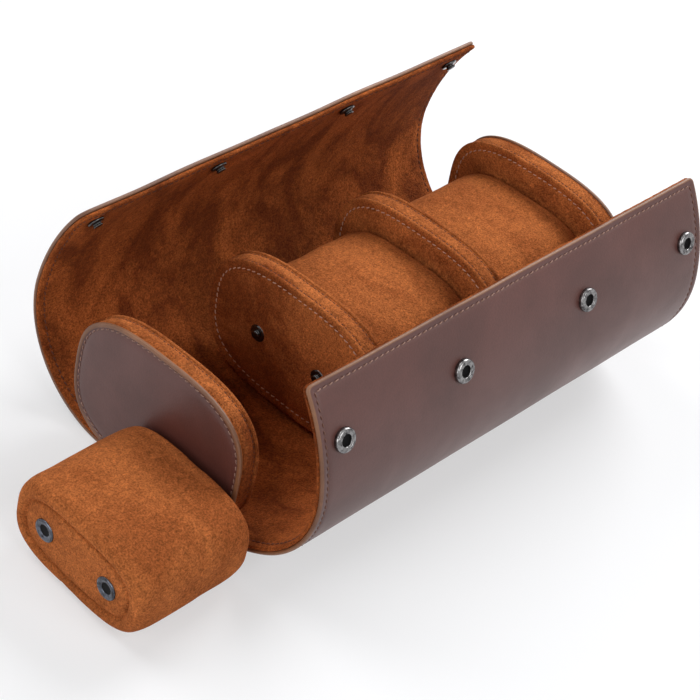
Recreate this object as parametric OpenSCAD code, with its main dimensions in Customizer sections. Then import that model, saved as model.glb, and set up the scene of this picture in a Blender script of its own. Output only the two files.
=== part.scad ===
// Travel roll for three watches, shown open.
// A stiff leather wrap with a suede lining carries four soft discs that
// stand across its floor.  Suede pillows fill the bays between the discs
// and snap to them.  Both long flaps bend inwards over the discs until
// the studs under the lid press into the sockets of the front flap.
//
// X runs along the roll, the front flap is at -Y, the lid at +Y, Z is up.
// The origin is the middle of the roll's flat foot, on the table.

/* [Wrap] */
// Length of the roll along its axis
wrap_len = 225; // [200:1:260]
// Thickness of the outer leather
leather_t = 1.6; // [1.2:0.1:2]
// Thickness of the stiffening board
board_t = 1.2; // [0.8:0.1:1.6]
// Thickness of the suede lining
lining_t = 1.4; // [1:0.1:1.8]
// Flat foot in front of the origin
foot_front = 10; // [8:0.5:14]
// Flat foot behind the origin
foot_back = 30; // [28:0.5:34]

/* [Front flap] */
// Radius of the gentle rise next to the foot
front_foot_r = 89; // [84:1:96]
// Bend of the gentle rise, in degrees
front_foot_bend = 35; // [33:0.5:37]
// Radius of the lower corner
front_corner_r = 49; // [46:1:54]
// Bend of the lower corner, in degrees
front_corner_bend = 65; // [62:0.5:68]
// Radius of the part above the corner
front_rise_r = 88; // [82:1:96]
// Bend of the part above the corner, in degrees
front_rise_bend = 28.7; // [26:0.1:31]
// Radius of the flap's two free corners
front_tip_r = 4; // [2:0.5:10]

/* [Lid] */
// Radius of the lower back corner
lid_corner_r = 46; // [44:1:50]
// Bend of the lower back corner, in degrees
lid_corner_bend = 98.4; // [94:0.2:101]
// Radius of the part above the corner
lid_rise_r = 104; // [96:1:112]
// Bend of the part above the corner, in degrees
lid_rise_bend = 27.3; // [25:0.1:30]
// Radius of the lid's two free corners
lid_tip_r = 5; // [3:0.5:12]

/* [Fold lines] */
// First fold of the front flap, measured from the foot along the leather
front_fold_1 = 14; // [12:0.5:18]
// Second fold of the front flap
front_fold_2 = 40; // [36:0.5:44]
// Third fold of the front flap
front_fold_3 = 84; // [80:0.5:88]
// First fold of the lid, measured from the foot along the leather
lid_fold_1 = 6; // [4:0.5:9]
// Second fold of the lid
lid_fold_2 = 72; // [68:0.5:76]
// Angle that a fold can open past its shape at rest, in degrees
fold_relief = 14; // [10:1:16]

/* [Wrap snaps] */
// Distance of the socket row from the front flap's edge
socket_row = 25; // [22:0.5:28]
// Distance of the stud row from the lid's edge
stud_row = 10.86; // [9.5:0.02:14]
// Distance of the outer snaps in from the wrap's ends
snap_outer_in = 11.5; // [8:0.5:28]
// Place of the inner snaps, as a share of the way to the outer ones
snap_inner_share = 0.364; // [0.3:0.002:0.44]
// Radius of a socket's ring
socket_r = 4.9; // [4.5:0.1:5.4]
// Height of a socket's ring
socket_h = 2; // [1.8:0.1:2.2]
// Radius of a socket's hole
socket_bore_r = 2.4; // [2.3:0.05:2.6]
// Radius of a stud's bulb
stud_r = 2.1; // [1.9:0.05:2.2]
// Radius of a lid stud's flange
lid_flange_r = 3.2; // [3:0.1:3.6]

/* [Discs] */
// Width of a disc
disc_w = 91; // [84:0.5:92]
// Height of a disc
disc_h = 60.6; // [56:0.2:61]
// Thickness of a disc
disc_t = 10.2; // [8:0.1:12]
// Power of the disc's rounded outline, where 2 is an ellipse
disc_power = 2.93; // [2.6:0.01:3.2]
// Tilt of the discs towards the back of the roll, in degrees
disc_tilt = 3.5; // [2:0.1:4]
// Offset of the discs towards the back of the roll
disc_y = 1.1; // [0:0.1:3]
// Lean of the left end disc into the roll, in degrees
left_lean = 3.4; // [0:0.1:5]
// Distance of the left end disc's middle in from the wrap's end
left_end_in = 1.8; // [0:0.1:4]
// Distance of the right end disc's middle in from the wrap's end
right_end_in = 2.3; // [0:0.1:4]
// Place of the left divider, as a share of the way between the end discs
divider_1_share = 0.3336; // [0.32:0.0004:0.34]
// Place of the right divider, as a share of the way between the end discs
divider_2_share = 0.661; // [0.65:0.001:0.67]
// Thickness of a disc's sewn face
face_t = 1.4; // [1:0.1:2]
// Thickness of the band round a disc
band_t = 1.4; // [1:0.1:2]
// Step from a face's rim down to the band
band_step = 0.5; // [0.2:0.1:1]

/* [Pillows] */
// Width of a pillow
pillow_w = 71.4; // [66:0.2:73]
// Height of a pillow
pillow_h = 40.5; // [36:0.2:42]
// Room that a bay leaves beside its pillow
pillow_slack = 5.1; // [4:0.1:10]
// Power of the pillow's rounded outline, where 2 is an ellipse
pillow_power = 3.1; // [2.7:0.01:3.4]
// Swell of the pillow's sides at mid length
pillow_crown = 0.9; // [0.3:0.1:1.5]
// Radius of the pillow's rolled ends
pillow_roll = 3; // [2:0.1:4]
// Thickness of the padded cover
cover_t = 4.4; // [3.6:0.1:5]
// Thickness of a pillow's end panel
panel_t = 1.2; // [1:0.1:1.6]
// Height of the pillows' middle above that of the discs
pillow_lift = -1.9; // [-3:0.1:0]
// Distance of the pillow's snaps from its middle
pillow_snap_y = 17.2; // [14:0.1:20]
// Radius of a disc stud's flange
disc_flange_r = 3.9; // [3.4:0.1:4.4]
// Distance of the loose pillow's far end from the middle of the left end disc
loose_away = 6; // [6:0.1:12]
// Offset of the loose pillow to the front
loose_y = -25.2; // [-40:0.2:0]

/* [Hidden] */

wrap_t = leather_t + board_t + lining_t;
front_curve = [
    [front_foot_r, front_foot_bend],
    [front_corner_r, front_corner_bend],
    [front_rise_r, front_rise_bend]
];
lid_curve = [
    [lid_corner_r, lid_corner_bend],
    [lid_rise_r, lid_rise_bend]
];
front_len = curve_len(front_curve);
lid_len = curve_len(lid_curve);
facet = 2.2;            // longest step along the leather
fold_gap = 0.05;        // clearance in a fold at rest
seat_gap = 0.3;         // clearance of a soft piece above what carries it
snap_outer_x = wrap_len / 2 - snap_outer_in;
snap_inner_x = snap_outer_x * snap_inner_share;
snap_x = [-snap_outer_x, -snap_inner_x, snap_inner_x, snap_outer_x];
snap_fit = 0.1;         // clearance round a snap's neck and ring
ring_floor = 0.4;       // thickness under a socket's hole
ring_edge = 0.6;        // slope at a socket's rims
mouth_w = 0.7;          // width of the slope round a socket's hole
mouth_h = 0.4;          // height of the slope round a socket's hole
neck_r = 2;             // radius of a snap's neck
flange_h = 0.5;         // height of a stud's flange
flange_edge = 0.3;      // slope at a flange's rim
stud_h = 2;             // height of a stud with its flange
waist_in = 0.4;         // step from a stud's bulb in to its waist
bulb_low = 0.7;         // from the flange up to the bulb's full width
bulb_edge = 0.5;        // slope at a bulb's tip
ring_lift = 0.03;       // clearance under a socket's ring
stud_lift = 0.1;        // clearance under a lid stud's flange
neck_short = 0.2;       // from a neck's end to the end of its hole
neck_depth = 1;         // neck of a pillow's socket
outline_n = 60;         // points round a soft outline
big = 400;              // larger than the part

// middles of the four discs along the roll
left_end_x = left_end_in - wrap_len / 2;
right_end_x = wrap_len / 2 - right_end_in;
disc_span = right_end_x - left_end_x;
divider_1_x = left_end_x + disc_span * divider_1_share;
divider_2_x = left_end_x + disc_span * divider_2_share;
disc_a = disc_w / 2;
disc_b = disc_h / 2;
// how far a tilted disc's foot lies below its middle
disc_foot = -min([
    for (p = outline(disc_a, disc_b, disc_power))
        p[1] * cos(disc_tilt) - p[0] * sin(disc_tilt)
]);
disc_z = wrap_t + seat_gap + disc_foot;
band_w = disc_t - 2 * face_t;
seam_part = 0.3;        // share of the band between the disc's middle and its seam
seam_x = band_w * seam_part;
face_flat = 0.4;        // share of a face's thickness with an upright rim
face_round = 0.8;       // share of a face's thickness where its rim has turned in
rim_in = [0.8, 2.2];    // insets of a face's outer edge, in the turn and after it
// the shorter of the two filled bays sets the length of all pillows
bay_len = min(divider_2_x - divider_1_x, right_end_x - divider_2_x) - disc_t;
pillow_len = bay_len - pillow_slack;
pillow_a = pillow_w / 2;
pillow_b = pillow_h / 2;
pillow_gap = 0.5;       // clearance between a pillow's end and its disc
panel_recess = 0.4;     // step from the rolled end down to the panel
// rings of the padded cover: shares of the rolled end, then of the length
roll_rings = [0, 0.12, 0.45, 1];
mid_rings = [0.3, 0.5, 0.7];

leather = [0.36, 0.23, 0.19];
board = [0.45, 0.42, 0.38];
suede = [0.63, 0.30, 0.12];
foam = [0.80, 0.76, 0.66];
metal = [0.25, 0.25, 0.27];

// ---- curve of the wrap --------------------------------------------------
// A curve is a list of [radius, bend] arcs of the outer leather.  It starts
// level at the foot's edge.  u runs away from the foot, v runs up.

function arc_len(arc) = arc[0] * arc[1] * PI / 180;
function curve_len(curve, i = 0) =
    i < len(curve) ? arc_len(curve[i]) + curve_len(curve, i + 1) : 0;

// [u, v, slope] after the length s along the outer leather
function along(curve, s, i = 0, a = 0, p = [0, 0]) =
    i == len(curve) ? [p[0] + s * cos(a), p[1] + s * sin(a), a]
    : let (r = curve[i][0], whole = arc_len(curve[i]), part = min(s, whole))
      let (b = a + part / r * 180 / PI)
      let (q = [p[0] + r * (sin(b) - sin(a)), p[1] + r * (cos(a) - cos(b))])
      s <= whole ? [q[0], q[1], b] : along(curve, s - whole, i + 1, b, q);

// point at the depth d under the outer leather
function under(curve, foot, s, d) =
    let (q = along(curve, s))
    [foot + q[0] - d * sin(q[2]), q[1] + d * cos(q[2])];

function row(curve, foot, s0, s1, d) =
    let (n = max(1, ceil((s1 - s0) / facet)))
    [for (i = [0 : n]) under(curve, foot, s0 + (s1 - s0) * i / n, d)];

function flipped(points) = [for (p = points) [-p[0], p[1]]];
function backwards(points) = [for (i = [len(points) - 1 : -1 : 0]) points[i]];

// start of a folding panel at the depth d: the cut leans away from the fold
// line, which lies on the lining, so the fold can open
function fold_start(s, d) = s + fold_gap + (wrap_t - d) * tan(fold_relief);

// draws a cross-section in Y and Z along the whole roll
module along_roll(length) {
    rotate([90, 0, 90])
        linear_extrude(height = length, center = true)
            children();
}

// one layer of a folding panel between two lengths along the leather
module panel_layer(curve, foot, s0, s1, d0, d1) {
    along_roll(wrap_len)
        polygon(concat(
            row(curve, foot, fold_start(s0, d0), s1, d0),
            backwards(row(curve, foot, fold_start(s0, d1), s1, d1))
        ));
}

// one layer of the floor, up to the first fold on each side
module floor_layer(d0, d1) {
    along_roll(wrap_len)
        polygon(concat(
            backwards(flipped(row(front_curve, foot_front, 0, front_fold_1, d0))),
            row(lid_curve, foot_back, 0, lid_fold_1, d0),
            backwards(row(lid_curve, foot_back, 0, lid_fold_1, d1)),
            flipped(row(front_curve, foot_front, 0, front_fold_1, d1))
        ));
}

// puts local Z along the inward normal and local Y along the leather
module on_curve(curve, foot, s, d) {
    q = along(curve, s);
    p = under(curve, foot, s, d);
    translate([0, p[0], p[1]])
        rotate([q[2], 0, 0])
            children();
}

// cuts both free corners of a flap to the radius r
module corner_cut(curve, foot, r) {
    on_curve(curve, foot, curve_len(curve) - r, wrap_t / 2)
        for (side = [-1, 1])
            translate([side * (wrap_len / 2 - r), 0, 0])
                difference() {
                    translate([side > 0 ? 0 : -2 * r, 0, -r])
                        cube([2 * r, 2 * r, 2 * r]);
                    cylinder(r = r, h = 5 * r, center = true, $fn = 64);
                }
}

// ---- snaps --------------------------------------------------------------

// stands on z = 0 with its mouth upwards and its neck below
module snap_socket(neck) {
    rim = socket_r - ring_edge;
    rotate_extrude($fn = 48)
        polygon([
            [0, -neck], [neck_r, -neck], [neck_r, 0],
            [rim, 0], [socket_r, ring_edge], [socket_r, socket_h - ring_edge],
            [rim, socket_h], [socket_bore_r + mouth_w, socket_h],
            [socket_bore_r, socket_h - mouth_h], [socket_bore_r, ring_floor],
            [0, ring_floor]
        ]);
}

// stands on z = 0 with its bulb upwards and its neck below
module snap_stud(flange_r, neck) {
    waist = stud_r - waist_in;
    rotate_extrude($fn = 48)
        polygon([
            [0, -neck], [neck_r, -neck], [neck_r, 0],
            [flange_r, 0], [flange_r - flange_edge, flange_h], [waist, flange_h],
            [waist, flange_h + waist_in], [stud_r, flange_h + bulb_low],
            [stud_r, stud_h - waist_in], [stud_r - bulb_edge, stud_h], [0, stud_h]
        ]);
}

// holes for the necks of a row of wrap snaps
module neck_holes(curve, foot, s) {
    on_curve(curve, foot, s, 0)
        for (x = snap_x)
            translate([x, 0, -wrap_t])
                cylinder(r = neck_r + snap_fit, h = 3 * wrap_t, $fn = 48);
}

module front_sockets() {
    color(metal)
        mirror([0, 1, 0])
            on_curve(front_curve, foot_front, front_len - socket_row, -ring_lift)
                for (x = snap_x)
                    translate([x, 0, 0])
                        rotate([180, 0, 0])
                            snap_socket(leather_t + board_t - neck_short);
}

module lid_studs() {
    color(metal)
        on_curve(lid_curve, foot_back, lid_len - stud_row, wrap_t + stud_lift)
            for (x = snap_x)
                translate([x, 0, 0])
                    snap_stud(lid_flange_r, lining_t + board_t - neck_short);
}

// ---- wrap ---------------------------------------------------------------

// the depths of the three layers: leather, board, lining
depths = [0, leather_t, leather_t + board_t, wrap_t];
layer_colour = [leather, board, suede];

module base_layer(i) {
    color(layer_colour[i])
        floor_layer(depths[i], depths[i + 1]);
}

module front_panel(i, s0, s1) {
    color(layer_colour[i])
        mirror([0, 1, 0])
            panel_layer(front_curve, foot_front, s0, s1, depths[i], depths[i + 1]);
}

module front_tip(i) {
    color(layer_colour[i])
        mirror([0, 1, 0])
            difference() {
                panel_layer(front_curve, foot_front, front_fold_3, front_len,
                    depths[i], depths[i + 1]);
                corner_cut(front_curve, foot_front, front_tip_r);
                if (i < 2)
                    neck_holes(front_curve, foot_front, front_len - socket_row);
            }
}

module lid_panel(i, s0, s1) {
    color(layer_colour[i])
        panel_layer(lid_curve, foot_back, s0, s1, depths[i], depths[i + 1]);
}

module lid_top(i) {
    color(layer_colour[i])
        difference() {
            panel_layer(lid_curve, foot_back, lid_fold_2, lid_len,
                depths[i], depths[i + 1]);
            corner_cut(lid_curve, foot_back, lid_tip_r);
            if (i > 0)
                neck_holes(lid_curve, foot_back, lid_len - stud_row);
        }
}

// ---- soft outlines ------------------------------------------------------

// rounded outline with the half sizes a and b
function outline(a, b, power) = [
    for (i = [0 : outline_n - 1])
        let (c = cos(360 * i / outline_n), s = sin(360 * i / outline_n))
        [a * sign(c) * pow(abs(c), 2 / power), b * sign(s) * pow(abs(s), 2 / power)]
];

// solid through rings, each [x, inset] from the outline with half sizes a, b.
// looped joins the last ring to the first, otherwise both ends are closed.
module ring_solid(a, b, power, rings, looped) {
    n = outline_n;
    m = len(rings);
    spans = looped ? m : m - 1;
    points = [
        for (r = rings)
            for (p = outline(a - r[1], b - r[1], power))
                [r[0], p[0], p[1]]
    ];
    sides = [
        for (k = [0 : spans - 1])
            for (i = [0 : n - 1])
                let (j = (i + 1) % n, l = (k + 1) % m)
                for (t = [[k * n + i, l * n + i, l * n + j], [k * n + i, l * n + j, k * n + j]])
                    t
    ];
    low = [for (i = [1 : n - 2]) [0, i, i + 1]];
    high = [for (i = [1 : n - 2]) [(m - 1) * n, (m - 1) * n + i + 1, (m - 1) * n + i]];
    polyhedron(points = points, faces = looped ? sides : concat(sides, low, high));
}

// flat slice of an outline between two places along X
module slice(a, b, power, x0, x1) {
    translate([(x0 + x1) / 2, 0, 0])
        along_roll(x1 - x0)
            polygon(outline(a, b, power));
}

// ---- discs --------------------------------------------------------------

// stands a disc at x, tilted to the back.  A lean turns it about its seam,
// which lies at the foot of the disc on the side that it leans to.
module at_disc(x, lean = 0) {
    translate([x + seam_x, disc_y, disc_z - disc_foot])
        rotate([0, lean, 0])
            translate([-seam_x, 0, disc_foot])
                rotate([-disc_tilt, 0, 0])
                    children();
}

// sewn face, on the right of the disc or mirrored to its left
module disc_face(side) {
    rings = [
        [0, 0], [face_t * face_flat, 0], [face_t * face_round, rim_in[0]], [face_t, rim_in[1]]
    ];
    mirror([side > 0 ? 0 : 1, 0, 0])
        translate([band_w / 2, 0, 0])
            ring_solid(disc_a, disc_b, disc_power, rings, false);
}

module disc_band() {
    difference() {
        slice(disc_a - band_step, disc_b - band_step, disc_power, -band_w / 2, band_w / 2);
        slice(disc_a - band_step - band_t, disc_b - band_step - band_t, disc_power, -big, big);
    }
}

module disc_core() {
    slice(disc_a - band_step - band_t, disc_b - band_step - band_t, disc_power,
        -band_w / 2, band_w / 2);
}

// pair of studs on the left face of a disc
module disc_studs() {
    for (y = [-pillow_snap_y, pillow_snap_y])
        translate([-disc_t / 2, y, pillow_lift])
            rotate([0, -90, 0])
                snap_stud(disc_flange_r, 0);
}

// ---- pillows ------------------------------------------------------------
// A pillow is drawn with its socket end at x = 0 and its body towards -X.

// inset of the cover at the distance x from the nearer end
function roll_inset(x) =
    x < pillow_roll ? pillow_roll - sqrt(pow(pillow_roll, 2) - pow(pillow_roll - x, 2)) : 0;
function swell_inset(x) = pillow_crown * (1 - sin(180 * x / pillow_len));

module pillow_cover() {
    near = [for (q = roll_rings) q * pillow_roll];
    xs = concat(near, [for (q = mid_rings) q * pillow_len],
        [for (x = backwards(near)) pillow_len - x]);
    outer = [
        for (x = xs)
            [-x, roll_inset(min(x, pillow_len - x)) + swell_inset(x)]
    ];
    inner = [[-pillow_len, cover_t + pillow_crown], [0, cover_t + pillow_crown]];
    ring_solid(pillow_a, pillow_b, pillow_power, concat(outer, inner), true);
}

// prism that fills the cover between two distances from the socket end
module pillow_fill(x0, x1) {
    inset = cover_t + pillow_crown;
    slice(pillow_a - inset, pillow_b - inset, pillow_power, -x1, -x0);
}

// where the base of a pillow's socket lies behind its end
socket_seat = flange_h + snap_fit + socket_h - pillow_gap;

module pillow_snaps(grow) {
    for (y = [-pillow_snap_y, pillow_snap_y])
        translate([-socket_seat, y, 0])
            rotate([0, 90, 0])
                if (grow > 0) {
                    cylinder(r = socket_r + grow, h = 2 * socket_seat, $fn = 48);
                    translate([0, 0, -neck_depth - grow])
                        cylinder(r = neck_r + grow, h = 2 * neck_depth, $fn = 48);
                } else {
                    snap_socket(neck_depth);
                }
}

module pillow_panels() {
    difference() {
        pillow_fill(panel_recess, panel_recess + panel_t);
        pillow_snaps(snap_fit);
    }
    pillow_fill(pillow_len - panel_recess - panel_t, pillow_len - panel_recess);
}

module pillow_core() {
    difference() {
        pillow_fill(panel_recess + panel_t, pillow_len - panel_recess - panel_t);
        pillow_snaps(snap_fit);
    }
}

// a pillow snapped to the left face of the disc at x
module in_bay(x) {
    at_disc(x)
        translate([-disc_t / 2 - pillow_gap, 0, pillow_lift])
            children();
}

// the loose pillow, turned round, on the table beside the left end
module on_table() {
    translate([left_end_x - loose_away - pillow_len, loose_y, pillow_b])
        rotate([0, 0, 180])
            children();
}

module pillow_part(part) {
    if (part == "cover")
        color(suede) pillow_cover();
    if (part == "panels")
        color(suede) pillow_panels();
    if (part == "core")
        color(foam) pillow_core();
    if (part == "sockets")
        color(metal) pillow_snaps(0);
}

// ---- one module for each sub-part ---------------------------------------

module left_end_outer_face() { color(leather) at_disc(left_end_x, left_lean) disc_face(-1); }
module left_end_inner_face() { color(suede) at_disc(left_end_x, left_lean) disc_face(1); }
module left_end_band() { color(suede) at_disc(left_end_x, left_lean) disc_band(); }
module left_end_core() { color(foam) at_disc(left_end_x, left_lean) disc_core(); }
module right_end_inner_face() { color(suede) at_disc(right_end_x) disc_face(-1); }
module right_end_outer_face() { color(leather) at_disc(right_end_x) disc_face(1); }
module right_end_band() { color(suede) at_disc(right_end_x) disc_band(); }
module right_end_core() { color(foam) at_disc(right_end_x) disc_core(); }
module divider_face(x, side) { color(suede) at_disc(x) disc_face(side); }
module divider_band(x) { color(suede) at_disc(x) disc_band(); }
module divider_core(x) { color(foam) at_disc(x) disc_core(); }
module studs_at(x) { color(metal) at_disc(x) disc_studs(); }

base_layer(0);  // base_leather
base_layer(1);  // base_board
base_layer(2);  // base_lining
front_panel(0, front_fold_1, front_fold_2);  // front_side_leather
front_panel(1, front_fold_1, front_fold_2);  // front_side_board
front_panel(2, front_fold_1, front_fold_2);  // front_side_lining
front_panel(0, front_fold_2, front_fold_3);  // front_upper_leather
front_panel(1, front_fold_2, front_fold_3);  // front_upper_board
front_panel(2, front_fold_2, front_fold_3);  // front_upper_lining
front_tip(0);  // front_tip_leather
front_tip(1);  // front_tip_board
front_tip(2);  // front_tip_lining
lid_panel(0, lid_fold_1, lid_fold_2);  // lid_back_leather
lid_panel(1, lid_fold_1, lid_fold_2);  // lid_back_board
lid_panel(2, lid_fold_1, lid_fold_2);  // lid_back_lining
lid_top(0);  // lid_top_leather
lid_top(1);  // lid_top_board
lid_top(2);  // lid_top_lining
front_sockets();
lid_studs();
left_end_outer_face();
left_end_inner_face();
left_end_band();
left_end_core();
divider_face(divider_1_x, -1);  // divider_1_left_face
divider_face(divider_1_x, 1);  // divider_1_right_face
divider_band(divider_1_x);  // divider_1_band
divider_core(divider_1_x);  // divider_1_core
divider_face(divider_2_x, -1);  // divider_2_left_face
divider_face(divider_2_x, 1);  // divider_2_right_face
divider_band(divider_2_x);  // divider_2_band
divider_core(divider_2_x);  // divider_2_core
right_end_inner_face();
right_end_outer_face();
right_end_band();
right_end_core();
studs_at(divider_1_x);  // divider_1_studs
studs_at(divider_2_x);  // divider_2_studs
studs_at(right_end_x);  // right_end_studs
on_table() pillow_part("cover");  // pillow_1_cover
on_table() pillow_part("panels");  // pillow_1_panels
on_table() pillow_part("core");  // pillow_1_core
on_table() pillow_part("sockets");  // pillow_1_sockets
in_bay(divider_2_x) pillow_part("cover");  // pillow_2_cover
in_bay(divider_2_x) pillow_part("panels");  // pillow_2_panels
in_bay(divider_2_x) pillow_part("core");  // pillow_2_core
in_bay(divider_2_x) pillow_part("sockets");  // pillow_2_sockets
in_bay(right_end_x) pillow_part("cover");  // pillow_3_cover
in_bay(right_end_x) pillow_part("panels");  // pillow_3_panels
in_bay(right_end_x) pillow_part("core");  // pillow_3_core
in_bay(right_end_x) pillow_part("sockets");  // pillow_3_sockets
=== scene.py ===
"""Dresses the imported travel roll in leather, suede, thread and metal.

The roll lies open.  A bent wrap carries four padded discs across its floor,
and two pillows sit snapped between them.  A third pillow stands beside the
roll.  Lengths are in metres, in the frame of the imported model.
"""

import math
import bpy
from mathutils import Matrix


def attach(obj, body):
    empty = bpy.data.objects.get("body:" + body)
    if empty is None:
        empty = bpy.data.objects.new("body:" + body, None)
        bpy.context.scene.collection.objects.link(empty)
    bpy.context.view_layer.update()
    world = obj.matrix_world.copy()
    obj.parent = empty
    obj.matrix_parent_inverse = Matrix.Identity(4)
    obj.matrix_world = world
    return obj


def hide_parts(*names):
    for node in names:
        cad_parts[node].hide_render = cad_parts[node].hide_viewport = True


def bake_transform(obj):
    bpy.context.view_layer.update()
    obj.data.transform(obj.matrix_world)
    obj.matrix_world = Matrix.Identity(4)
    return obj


bl_info = {
    "name": "Watch Travel Roll",
    "version": (1, 0, 0),
    "blender": (4, 5, 0),
    "location": "3D View > Sidebar > Travel Roll",
    "description": "Dresses the packed travel roll in leather, suede, thread and metal",
    "category": "Object",
}

import bmesh
import bpy
import numpy as np
from mathutils import Matrix, Vector

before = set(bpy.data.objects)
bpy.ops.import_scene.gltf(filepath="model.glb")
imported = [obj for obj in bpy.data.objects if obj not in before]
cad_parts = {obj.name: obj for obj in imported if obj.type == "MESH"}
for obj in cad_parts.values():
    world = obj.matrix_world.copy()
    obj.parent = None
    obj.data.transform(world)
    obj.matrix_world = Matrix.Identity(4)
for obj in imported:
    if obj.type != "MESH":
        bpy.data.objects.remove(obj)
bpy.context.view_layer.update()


# Where the row of stitches lies, from the wrap's edge
STITCH_ROW = 0.0031


# ---- what a user would change ------------------------------------------


def length(name, text, value):
    return bpy.props.FloatProperty(
        name=name, description=text, default=value, unit="LENGTH", precision=5
    )


def turn(name, text, degrees):
    return bpy.props.FloatProperty(
        name=name, description=text, default=math.radians(degrees), subtype="ANGLE"
    )


def number(name, text, value):
    return bpy.props.FloatProperty(name=name, description=text, default=value)


def paint(name, text, red, green, blue):
    """A colour that is given as a screen shows it, from 0 to 255."""
    linear = [
        c / 12.92 if c <= 0.04045 else ((c + 0.055) / 1.055) ** 2.4
        for c in (red / 255, green / 255, blue / 255)
    ]
    return bpy.props.FloatVectorProperty(
        name=name, description=text, default=linear, subtype="COLOR", min=0, max=1
    )


class TravelRollWrap(bpy.types.PropertyGroup):
    """Sizes of the wrap and of the snaps in it."""

    length: length("Length", "Length of the roll along its axis", 0.225)
    thickness: length("Thickness", "Leather, board and lining together", 0.0042)
    foot_front: length("Foot front", "Flat foot in front of the origin", 0.010)
    foot_back: length("Foot back", "Flat foot behind the origin", 0.030)
    front_r_1: length("Front radius 1", "Rise next to the foot", 0.089)
    front_bend_1: turn("Front bend 1", "Bend of the rise next to the foot", 35)
    front_r_2: length("Front radius 2", "Lower corner of the front flap", 0.049)
    front_bend_2: turn("Front bend 2", "Bend of the lower corner", 65)
    front_r_3: length("Front radius 3", "Front flap above its corner", 0.088)
    front_bend_3: turn("Front bend 3", "Bend of the flap above its corner", 28.7)
    lid_r_1: length("Lid radius 1", "Lower back corner", 0.046)
    lid_bend_1: turn("Lid bend 1", "Bend of the lower back corner", 98.4)
    lid_r_2: length("Lid radius 2", "Lid above its corner", 0.104)
    lid_bend_2: turn("Lid bend 2", "Bend of the lid above its corner", 27.3)
    front_tip_r: length("Front corners", "Radius of the front flap's corners", 0.0026)
    lid_tip_r: length("Lid corners", "Radius of the lid's corners", 0.005)
    front_fold_1: length("Front fold 1", "From the foot along the leather", 0.014)
    front_fold_2: length("Front fold 2", "From the foot along the leather", 0.040)
    front_fold_3: length("Front fold 3", "From the foot along the leather", 0.084)
    lid_fold_1: length("Lid fold 1", "From the foot along the leather", 0.006)
    lid_fold_2: length("Lid fold 2", "From the foot along the leather", 0.072)
    fold_soft: length("Soft fold", "Half the width that a fold bends over", 0.010)
    socket_row: length("Socket row", "From the front flap's edge", 0.025)
    stud_row: length("Stud row", "From the lid's edge", 0.01086)
    edge_thin: length("Thin edge", "How much the lining thins out at the edge", 0.0009)
    snap_outer: length("Outer snaps", "From the middle of the roll", 0.101)
    snap_inner: length("Inner snaps", "From the middle of the roll", 0.036764)


class TravelRollDiscs(bpy.types.PropertyGroup):
    """Sizes of the four padded discs."""

    width: length("Width", "Width of a disc", 0.091)
    height: length("Height", "Height of a disc", 0.0606)
    thickness: length("Thickness", "Thickness of a disc", 0.0102)
    power: number("Outline power", "2 is an ellipse", 2.93)
    tilt: turn("Tilt", "Tilt towards the back of the roll", 3.5)
    offset: length("Offset", "Offset towards the back of the roll", 0.0011)
    foot_z: length("Foot", "Height of a disc's foot above the table", 0.0045)
    face: length("Face", "Thickness of a sewn face", 0.0014)
    left_lean: turn("Left lean", "Lean of the left end disc", 3.4)
    left_end: length("Left end", "Middle of the left end disc", -0.1107)
    divider_1: length("Divider 1", "Middle of the left divider", -0.037008)
    divider_2: length("Divider 2", "Middle of the right divider", 0.035315)
    right_end: length("Right end", "Middle of the right end disc", 0.1102)


class TravelRollPillows(bpy.types.PropertyGroup):
    """Sizes of the three pillows."""

    width: length("Width", "Width of a pillow", 0.0714)
    height: length("Height", "Height of a pillow", 0.0405)
    length: length("Length", "Length of a pillow", 0.057023)
    power: number("Outline power", "2 is an ellipse", 3.1)
    crown: length("Crown", "Swell of the sides at mid length", 0.0009)
    lift: length("Lift", "Middle above that of the discs", -0.0019)
    gap: length("Gap", "From a pillow's end to its disc", 0.0005)
    snap_y: length("Snaps", "From the middle of a pillow", 0.0172)
    socket_seat: length("Socket seat", "Base of a socket behind the end", 0.0021)
    loose_x: length("Loose pillow", "Far end of the loose pillow", -0.1167)
    loose_y: length("Loose offset", "Offset of the loose pillow", -0.0252)


class TravelRollThread(bpy.types.PropertyGroup):
    """Sizes of the stitching."""

    stitch: length("Stitch", "Length of a stitch", 0.0023)
    pitch: length("Pitch", "From one stitch to the next", 0.0029)
    radius: length("Radius", "Half the thickness of the thread", 0.00027)
    inset: length("Inset", "From the wrap's edge to its row of stitches", STITCH_ROW)
    outer_face: length("Outer face", "Inset of the row on a leather face", 0.0024)
    suede_face: length("Suede face", "Inset of the row on a suede face", 0.0036)
    slant: turn("Slant", "How far a stitch turns out of its row", 13)


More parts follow.
